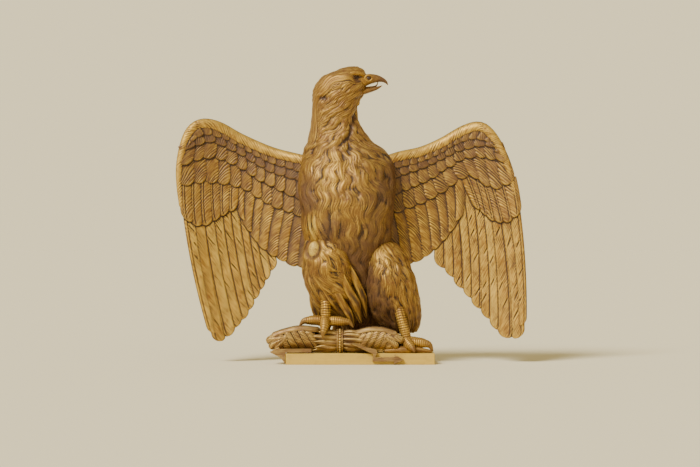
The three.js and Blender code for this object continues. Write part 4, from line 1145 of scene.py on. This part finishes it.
def tail(shells):
    t = TAIL
    rings, sides = round(84 / COARSE), round(28 / COARSE)
    turn = np.linspace(0, 2 * math.pi, sides, endpoint=False)
    down = np.linspace(0, 1, rings)
    for i in range(t["feathers"]):
        share = 2 * (i + 0.5) / t["feathers"] - 1
        middle = 1 - share * share
        root = np.array([t["centre_x"] + share * t["root_half"], t["root_y"], t["root_z"]])
        tip = np.array([t["centre_x"] + share * t["tip_half"], t["tip_y"] + t["arch"] * middle,
                        t["tip_z"] + t["side_rise"] * (1 - middle)])
        centre = root + (tip - root) * down[:, None]
        spread = t["root_half"] + (t["tip_half"] - t["root_half"]) * down
        half = t["overlap"] * spread / t["feathers"] * np.sqrt(np.clip(1 - ramp(down, 0.9, 1.0) ** 2 * 0.9, 0, 1))
        thick = t["thickness"] / 2 * np.ones(rings)
        x = half[:, None] * np.sign(np.cos(turn)) * np.abs(np.cos(turn)) ** 0.8
        length = np.linalg.norm(tip - root) * down
        barb = 0.7 * np.cos(2 * math.pi * (length[:, None] - 1.1 * np.abs(x)) / 5.2)
        y = (thick[:, None] * np.sign(np.sin(turn)) * np.abs(np.sin(turn)) ** 1.3) + barb * np.sin(turn)
        points = np.stack([centre[:, :1] + x, centre[:, 1:2] + y, np.repeat(centre[:, 2:], sides, 1)], axis=-1)
        hollow = np.clip(-barb * np.ones_like(x), 0, 1)
        shells.add(np.vstack([points.reshape(-1, 3), centre[0], centre[-1]]), net_faces(rings, sides),
                   np.r_[hollow.ravel(), 0, 0], toned=0.5)


# Thunderbolt

BUNDLE = dict(y=-46, z=45.5, tie_x=-40, tie_half=6.5, tie_radius=22.5, flames=8, flame_length=12, flute_share=0.78,
              twist=1.1, flare=[(0, 17), (10, 21), (34, 22.5), (50, 21)])
BOLT_WINGS = [
    dict(side=-1, arm=[(-84, 66), (-120, 69), (-150, 63), (-170, 56)], tips=[(-84, 32), (-116, 26), (-146, 24.5), (-168, 24)],
         end=[(-152, 52), (-184, 38)], end_tips=[(-166, 27), (-180, 33), (-186, 46)]),
    dict(side=1, arm=[(-8, 60), (20, 67), (46, 66), (68, 59)], tips=[(-8, 33), (20, 26), (44, 24), (66, 26)],
         end=[(54, 54), (89, 46)], end_tips=[(74, 33), (86, 47)]),
]
BOLT_WING = dict(feathers=6, half_depth=25, slant=20, arm_radius=4.8)
RIGHT_ARROW = [(-20, 42), (32, 30), (34, 24), (30, 15), (66, 15), (68, 20), (86, 9.5), (66, 1), (66, 6.5), (24, 6.5),
               (26, 21)]
LEFT_ARROW = [(-96, 31), (-158, 31), (-160, 35), (-178, 24.5), (-158, 15), (-147, 1.5), (-147, 24), (-96, 24)]
ARROW = dict(depth=8, bundle_depth=24)


def bolt_wing(shells, plan, rng):
    """A small wing: a smooth arm along the top, and slanting framed feathers under it."""
    every = np.array(plan["arm"] + plan["tips"] + plan["end"], float)
    panel = Panel(every.min(0) - 14, every.max(0) + 14, 0.8 * COARSE)
    arm, tips = smooth_curve(plan["arm"]), smooth_curve(plan["tips"])
    outward = np.array([plan["side"], 0.0])
    row = dict(face=3.6, root_face=3.0, pitch=4.4, crown=1.2, barb=0.5, rim=True, rounding=0.3, bend=0.0, toning=-0.1)
    for i in range(BOLT_WING["feathers"]):
        share = (i + 0.5) / BOLT_WING["feathers"]
        root = point_on(arm, share) + outward * BOLT_WING["slant"] / 2
        tip = point_on(tips, share) - outward * BOLT_WING["slant"] / 2
        lay_feather(panel, root, tip, 7.4, 7.4, row, outward, rng, tips[-1] - tips[0])
    for tip in plan["end_tips"]:
        root = np.array(plan["end"][0], float) - outward * 8
        lay_feather(panel, root, np.array(tip, float), 6, 8, dict(row, face=4.6, rounding=1.0), outward, rng)
    line = even_line(plan["arm"], 40)
    line = line + np.array([0.0, 2.0])
    distance, along, _ = nearest_on(line, panel.X, panel.Z)
    radius = BOLT_WING["arm_radius"]
    cap = 2.2 + 2.8 * np.sqrt(np.clip(1 - (distance / radius) ** 2, 0, 1)) + 0.35 * waves(panel.X, panel.Z, 24, 2)
    strand = np.stack([panel.Z, along, 0 * along], axis=-1)
    panel.lay((slice(None), slice(None)), radius - distance, cap, 0.3, strand)
    relief = panel.height()
    centre_z = np.interp(panel.X, *zip(*sorted((x, z - 12) for x, z in line)))
    bulge = np.sqrt(np.clip(1 - ((panel.Z - centre_z) / 28) ** 2, 0.08, 1)) * (BOLT_WING["half_depth"] - 3.5)
    low, high = every[:, 0].min(), every[:, 0].max()
    outer = np.abs(2 * panel.X - low - high) / (high - low + 8)
    bulge = bulge * np.sqrt(np.clip(1 - outer ** 4, 0.06, 1))
    step = 1 / panel.pitch
    tones = relief_tones(relief, 1.3 * step, 3.5 * step, 0.8, 0.7)
    middle = np.full(panel.X.shape, float(BUNDLE["y"]))
    shells.add(*cut_out(panel, bulge + relief, bulge + 0.5 * relief, middle, tones + tones))


def flames(shells, side, rng):
    """Long leaf-shaped flames that spread out of the tie."""
    b = BUNDLE
    reach = b["flare"][-1][0] + b["flame_length"]
    for count, out, start in ((11, 17.5, 0.0), (7, 10.5, 0.3)):
        for i in range(count):
            turn = 2 * math.pi * (i + start) / count
            length = reach * rng.uniform(0.74, 1.0)
            line = []
            for share, radius, twist in ((0, 0.80, 0), (0.3, 1.02, 0.10), (0.65, 1.0, 0.2), (1.0, 1.22, 0.26)):
                angle = turn + side * twist
                line.append((b["tie_x"] + side * share * length, b["y"] + out * radius * math.cos(angle),
                             b["z"] + out * radius * math.sin(angle)))
            bar(shells, line, [3.6, 5.2, 6.4, 4.8, 0.4], 24, 32, flutes=(3, 0.8, 0.05), toned=[0.45, 0.15, 0.05])


def outline_slab(shells, outline, front, depth, bevel=0.9, rubbed=0.55):
    """A flat arrow cut to an outline in the front view, with softened edges where the gold is rubbed bright."""
    bm = bmesh.new()
    face = bm.faces.new([bm.verts.new((x, front, z)) for x, z in outline])
    made = bmesh.ops.extrude_face_region(bm, geom=[face])
    bmesh.ops.translate(bm, vec=(0, depth, 0), verts=[e for e in made["geom"] if isinstance(e, bmesh.types.BMVert)])
    bmesh.ops.bevel(bm, geom=bm.edges[:], offset=bevel, segments=3, affect="EDGES", profile=0.6)
    panel = min((f for f in bm.faces if len(f.verts) == len(outline)), key=lambda f: f.calc_center_median().y)
    bmesh.ops.inset_region(bm, faces=[panel], thickness=rubbed, use_even_offset=True)
    plain = set(panel.verts)
    bmesh.ops.triangulate(bm, faces=bm.faces[:])
    bm.verts.index_update()
    points = np.array([v.co[:] for v in bm.verts])
    faces = np.array([[v.index for v in f.verts] for f in bm.faces])
    toned = np.array([0.45 if v in plain or v.co.y > front + 1.5 * bevel else -0.1 for v in bm.verts])
    bm.free()
    lay = np.stack([points[:, 1] + points[:, 2], points[:, 0], 0 * toned], axis=-1)
    shells.add(points, faces, toned=toned, lay=lay)


BAND_BEADS = dict(across=0.0, ring=22.4, count=25, size=2.7)


def bead_ring_tree(material):
    """Sets beads evenly round a ring."""
    t = Tree("ring of beads", {"Geometry": "Geometry", "Ring Radius": "Float", "Bead Radius": "Float", "Bead Count": "Int",
                               "Place": "Vector"})
    ring = t.node("GeometryNodeMeshCircle", "Mesh", Radius=t.given["Ring Radius"], Vertices=t.given["Bead Count"])
    bead = t.node("GeometryNodeMeshIcoSphere", "Mesh", Radius=t.given["Bead Radius"], Subdivisions=2)
    strung = t.node("GeometryNodeInstanceOnPoints", "Instances", Points=ring, Instance=bead)
    placed = t.node("GeometryNodeTransform", "Geometry", Geometry=strung, Rotation=(0, math.pi / 2, 0),
                    Translation=t.given["Place"])
    return t.close(placed, material)


def band_beads(gold):
    """A row of beads round the band that ties the flames."""
    b, beads = BUNDLE, BAND_BEADS
    mesh = grown("band_beads", bead_ring_tree(gold), {
        "Ring Radius": beads["ring"] * MM, "Bead Radius": beads["size"] * MM, "Bead Count": beads["count"],
        "Place": ((b["tie_x"] + beads["across"]) * MM, b["y"] * MM, b["z"] * MM),
    }, bpy.data.meshes.new("seed"))
    mesh.name = "band_beads"
    mesh.polygons.foreach_set("use_smooth", np.ones(len(mesh.polygons), bool))
    mesh.attributes.new("proud", "FLOAT", "POINT").data.foreach_set("value", np.full(len(mesh.vertices), 0.6))
    piece = bpy.data.objects.new("band_beads", mesh)
    bpy.context.collection.objects.link(piece)
    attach(piece, "root")
    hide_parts("thunderbolt")


def thunderbolt(gold):
    rng = np.random.default_rng(21)
    shells = Shells()
    for plan in BOLT_WINGS:
        bolt_wing(shells, plan, rng)
    for side in (-1, 1):
        flames(shells, side, rng)
    b = BUNDLE
    bar(shells, [(b["tie_x"] - 60, b["y"], b["z"]), (b["tie_x"], b["y"], b["z"]), (b["tie_x"] + 60, b["y"], b["z"])],
        [14, 19, 14], 32, 20, toned=0.8)
    rims = [21.4, 24.2, 24.4, 24.2] + [21.6] * 8 + [24.2, 24.4, 24.2, 21.4]
    bar(shells, [(b["tie_x"] - b["tie_half"], b["y"], b["z"]), (b["tie_x"] + b["tie_half"], b["y"], b["z"])],
        rims, 64, 60, toned=0.15)
    front = -(PLINTH["half_depth"] + ARROW["depth"])
    outline_slab(shells, RIGHT_ARROW, front, ARROW["depth"] - 0.4)
    outline_slab(shells, [(x, z) for x, z in RIGHT_ARROW[:3]] + [(24, 24)], front + 1, ARROW["depth"] + 20)
    outline_slab(shells, LEFT_ARROW, -PLINTH["half_depth"], ARROW["bundle_depth"])
    shells.build("thunderbolt_carving", gold, "thunderbolt")
    band_beads(gold)


# Finishes

def attribute(nodes, name):
    node = nodes.new("ShaderNodeAttribute")
    node.attribute_name = name
    return node.outputs["Fac"]


def grain_of(nodes, links, place, scale, detail, stretch=(1, 1, 1)):
    """A cloudy pattern of a given fineness, over the object's own place."""
    turn = nodes.new("ShaderNodeMapping")
    turn.inputs["Scale"].default_value = stretch
    links.new(place, turn.inputs["Vector"])
    cloud = nodes.new("ShaderNodeTexNoise")
    cloud.inputs["Scale"].default_value = scale
    cloud.inputs["Detail"].default_value = detail
    links.new(turn.outputs["Vector"], cloud.inputs["Vector"])
    return cloud.outputs["Fac"]


def between(nodes, links, value, low, high, least=0.0, most=1.0):
    """A value carried from one range to another."""
    node = nodes.new("ShaderNodeMapRange")
    node.inputs["From Min"].default_value = low
    node.inputs["From Max"].default_value = high
    node.inputs["To Min"].default_value = least
    node.inputs["To Max"].default_value = most
    links.new(value, node.inputs["Value"])
    return node.outputs["Result"]


def worked(nodes, links, operation, first, second, third=None, clamp=False):
    node = nodes.new("ShaderNodeMath")
    node.operation = operation
    node.use_clamp = clamp
    for socket, value in zip(node.inputs, (first, second, third)):
        if value is None:
            continue
        if isinstance(value, (int, float)):
            socket.default_value = value
        else:
            links.new(value, socket)
    return node.outputs["Value"]


def blended(nodes, links, share, first, second):
    """One colour laid over another by a share."""
    node = nodes.new("ShaderNodeMix")
    node.data_type = "RGBA"
    for socket, value in ((node.inputs["A"], first), (node.inputs["B"], second)):
        if isinstance(value, tuple):
            socket.default_value = (*value, 1)
        else:
            links.new(value, socket)
    links.new(share, node.inputs["Factor"])
    return node.outputs["Result"]


# Pale cream leaf, laid mostly as a painted highlight.
PALE_LEAF = (0.56, 0.40, 0.085)


def gilding(name, mid, light, bole, toning, dirt_and_shade):
    """Old gilding on carved wood: lighter on what stands proud, as a painted highlight, worn to red-brown bole in
    spots, laid with a brown glaze that is partly patina and partly painted shade, and dark in the hollows with dirt
    and painted shade."""
    material = bpy.data.materials.new(name)
    material.use_nodes = True
    nodes, links = material.node_tree.nodes, material.node_tree.links
    shader = nodes["Principled BSDF"]
    place = nodes.new("ShaderNodeTexCoord").outputs["Object"]
    hollow, proud, toned = (attribute(nodes, label) for label in ("hollow", "proud", "toned"))
    cloud = grain_of(nodes, links, place, 24, 4)
    grain = grain_of(nodes, links, place, 380, 3)
    patch = grain_of(nodes, links, place, 70, 5)

    lay = nodes.new("ShaderNodeAttribute")
    lay.attribute_name = "lay"
    strand = grain_of(nodes, links, lay.outputs["Vector"], 1.0, 2, (0.36, 0.035, 1))

    # Painted highlight: what stands proud and the light strands are painted lighter, over a random cloud.
    lit = worked(nodes, links, "MULTIPLY_ADD", between(nodes, links, cloud, 0.36, 0.66), 0.35, proud)
    lit = worked(nodes, links, "ADD", lit, between(nodes, links, strand, 0.38, 0.64, -0.45, 0.50), clamp=True)
    leaf = blended(nodes, links, lit, mid, light)
    # Painted highlight, mostly: pale cream leaf along the light strands where pale is set.
    pale = attribute(nodes, "pale")
    leaf = blended(nodes, links, worked(nodes, links, "MULTIPLY", pale, between(nodes, links, strand, 0.36, 0.56, 0.4, 1.0)),
                   leaf, PALE_LEAF)
    rubbed = worked(nodes, links, "MULTIPLY", between(nodes, links, patch, 0.50, 0.68),
                    between(nodes, links, grain, 0.42, 0.62, 0.0, 0.75))
    leaf = blended(nodes, links, rubbed, leaf, bole)
    # Brown glaze from the brown attribute, partly patina and partly painted shade.
    glaze = worked(nodes, links, "ADD", between(nodes, links, patch, 0.30, 0.75, -0.16, 0.16), toned, clamp=True)
    glaze = worked(nodes, links, "MULTIPLY", glaze, 0.88)
    leaf = blended(nodes, links, glaze, leaf, toning)
    # Painted shade and dirt: dark in the hollows, and along dark strand lines that stand for the shade of fine grooves.
    depth = worked(nodes, links, "ADD", between(nodes, links, hollow, 0.04, 0.62, 0.0, 0.94),
                   between(nodes, links, strand, 0.40, 0.28, 0.0, 0.55), clamp=True)
    colour = blended(nodes, links, depth, leaf, dirt_and_shade)
    links.new(colour, shader.inputs["Base Color"])

    covered = worked(nodes, links, "MAXIMUM", worked(nodes, links, "MAXIMUM", depth, glaze), pale)
    links.new(between(nodes, links, covered, 0.0, 1.0, 0.66, 0.05), shader.inputs["Metallic"])
    links.new(between(nodes, links, cloud, 0.3, 0.7, 0.42, 0.58), shader.inputs["Roughness"])
    shader.inputs["Specular IOR Level"].default_value = 0.3
    bump = nodes.new("ShaderNodeBump")
    bump.inputs["Strength"].default_value = 0.4
    bump.inputs["Distance"].default_value = 0.0006
    links.new(worked(nodes, links, "ADD", grain, strand), bump.inputs["Height"])
    links.new(bump.outputs["Normal"], shader.inputs["Normal"])
    return material


def flat_paint(name, colour, shade, grime):
    """Flat ochre paint, brushed along the block, and mottled and specked with grime."""
    material = bpy.data.materials.new(name)
    material.use_nodes = True
    nodes, links = material.node_tree.nodes, material.node_tree.links
    shader = nodes["Principled BSDF"]
    place = nodes.new("ShaderNodeTexCoord").outputs["Object"]
    brush = grain_of(nodes, links, place, 3.0, 5, (6, 40, 90))
    mottle = grain_of(nodes, links, place, 60, 4)
    speck = grain_of(nodes, links, place, 420, 2)
    ground = blended(nodes, links, between(nodes, links, brush, 0.35, 0.65), colour, shade)
    marks = between(nodes, links, mottle, 0.52, 0.72, 0.0, 0.35)
    marks = worked(nodes, links, "ADD", marks, between(nodes, links, speck, 0.62, 0.7, 0.0, 0.25), clamp=True)
    worn = worked(nodes, links, "MAXIMUM", marks, worked(nodes, links, "MULTIPLY", attribute(nodes, "toned"), 0.7))
    links.new(blended(nodes, links, worn, ground, grime), shader.inputs["Base Color"])
    links.new(between(nodes, links, mottle, 0.3, 0.7, 0.55, 0.72), shader.inputs["Roughness"])
    bump = nodes.new("ShaderNodeBump")
    bump.inputs["Strength"].default_value = 0.2
    bump.inputs["Distance"].default_value = 0.0006
    links.new(brush, bump.inputs["Height"])
    links.new(bump.outputs["Normal"], shader.inputs["Normal"])
    return material


def plinth(paint):
    bm = bmesh.new()
    bmesh.ops.create_cube(bm, size=1)
    for v in bm.verts:
        v.co.x *= 2 * PLINTH["half_width"]
        v.co.y *= 2 * PLINTH["half_depth"]
        v.co.z = (v.co.z + 0.5) * PLINTH["height"]
    bmesh.ops.bevel(bm, geom=bm.edges[:], offset=1.2, segments=3, affect="EDGES", profile=0.6)
    bmesh.ops.triangulate(bm, faces=bm.faces[:])
    points = np.array([v.co[:] for v in bm.verts])
    faces = np.array([[v.index for v in f.verts] for f in bm.faces])
    bm.free()
    shells = Shells()
    shells.add(points, faces)
    piece = shells.build("plinth_block", paint, "plinth")
    piece.data.polygons.foreach_set("use_smooth", np.zeros(len(faces), bool))
    return piece


def eagle_body(gold):
    rng = np.random.default_rng(3)
    body(gold, rng)
    shells = Shells()
    thigh(shells, LEFT_THIGH_LEVELS, 74, 264, LEFT_THIGH_FLOW, LEFT_THIGH_CURLS, rng, LEFT_THIGH_SHADE, KNEE_SPOT)
    thigh(shells, RIGHT_THIGH_LEVELS, 62, 250, RIGHT_THIGH_FLOW, RIGHT_THIGH_CURLS, rng, RIGHT_THIGH_SHADE)
    shells.build("eagle_thighs", gold, "eagle")
    shells = Shells()
    for plume in (LEFT_PLUME, RIGHT_PLUME):
        bar(shells, plume["line"], plume["radii"], 40, 64, flutes=(5, 1.1, 0.07), toned=0.3)
    for tress in TRESSES:
        bar(shells, tress["line"], tress["radii"], 32, 60, flutes=(4, 1.1, 0.05), toned=[0.2, 0.15, 0.3, 0.5])
    ball(shells, KNEE_SPOT["at"], KNEE_SPOT["radii"], proud=1.0, toned=-1.1)
    legs(shells)
    tail(shells)
    shells.build("eagle_legs_and_tail", gold, "eagle")


# Stage

PAPER = (1.28, 1.09, 0.64)
KEY = dict(way=(-0.66, -0.95, 1.05), strength=4.6, spread=0.40)
OVERHEAD = 0.42


def surround(world):
    """A pale surround at the height of the eye, that darkens softly overhead."""
    world.use_nodes = True
    nodes, links = world.node_tree.nodes, world.node_tree.links
    way = nodes.new("ShaderNodeTexCoord")
    parts = nodes.new("ShaderNodeSeparateXYZ")
    links.new(way.outputs["Generated"], parts.inputs["Vector"])
    height = between(nodes, links, parts.outputs["Z"], 0.16, 0.62, 1.0, OVERHEAD)
    background = nodes["Background"]
    background.inputs["Color"].default_value = (*PAPER, 1)
    links.new(height, background.inputs["Strength"])


def stage():
    """A pale floor that meets a pale surround without an edge, a soft key light, and the camera."""
    toward = np.array(KEY["way"]) / np.linalg.norm(KEY["way"])
    lit = KEY["strength"] * toward[2] / math.pi
    share = OVERHEAD + (1 - OVERHEAD) * 0.16
    mesh = bpy.data.meshes.new("floor")
    reach = 30.0
    mesh.from_pydata([(-reach, -reach, 0), (reach, -reach, 0), (reach, reach, 0), (-reach, reach, 0)], [], [(0, 1, 2, 3)])
    floor = bpy.data.objects.new("floor", mesh)
    bpy.context.collection.objects.link(floor)
    paper = bpy.data.materials.new("pale floor")
    paper.use_nodes = True
    shader = paper.node_tree.nodes["Principled BSDF"]
    shader.inputs["Base Color"].default_value = (*(c / (c * share + lit) for c in PAPER), 1)
    shader.inputs["Roughness"].default_value = 1.0
    shader.inputs["Specular IOR Level"].default_value = 0.0
    mesh.materials.append(paper)

    world = bpy.data.worlds.new("studio")
    bpy.context.scene.world = world
    surround(world)

    key = bpy.data.lights.new("key light", "SUN")
    key.energy = KEY["strength"]
    key.angle = KEY["spread"]
    holder = bpy.data.objects.new("key light", key)
    holder.rotation_euler = (math.acos(toward[2]), 0, math.atan2(toward[0], -toward[1]))
    bpy.context.collection.objects.link(holder)

    lens = bpy.data.cameras.new("camera")
    lens.sensor_width = 36
    lens.lens = 120
    distance = 1.4 * 120 / 36
    camera = bpy.data.objects.new("camera", lens)
    camera.location = (-0.020, -distance, 0.258)
    camera.rotation_euler = (math.pi / 2, 0, 0)
    bpy.context.collection.objects.link(camera)
    bpy.context.scene.camera = camera


gold = gilding("old gilding", mid=(0.265, 0.132, 0.025), light=(0.56, 0.345, 0.062), bole=(0.20, 0.072, 0.022),
               toning=(0.098, 0.045, 0.022), dirt_and_shade=(0.036, 0.018, 0.011))
bolt_gold = gilding("brown gilding", mid=(0.25, 0.140, 0.045), light=(0.55, 0.37, 0.110), bole=(0.20, 0.078, 0.030),
                    toning=(0.115, 0.055, 0.030), dirt_and_shade=(0.034, 0.017, 0.012))
ochre = flat_paint("ochre paint", (0.54, 0.355, 0.055), (0.49, 0.315, 0.045), (0.30, 0.18, 0.040))

BAR_TREE = bar_tree(gold)

wing(LEFT_WING, "eagle_left_wing", gold)
wing(RIGHT_WING, "eagle_right_wing", gold)
eagle_body(gold)
thunderbolt(bolt_gold)
plinth(ochre)
stage()
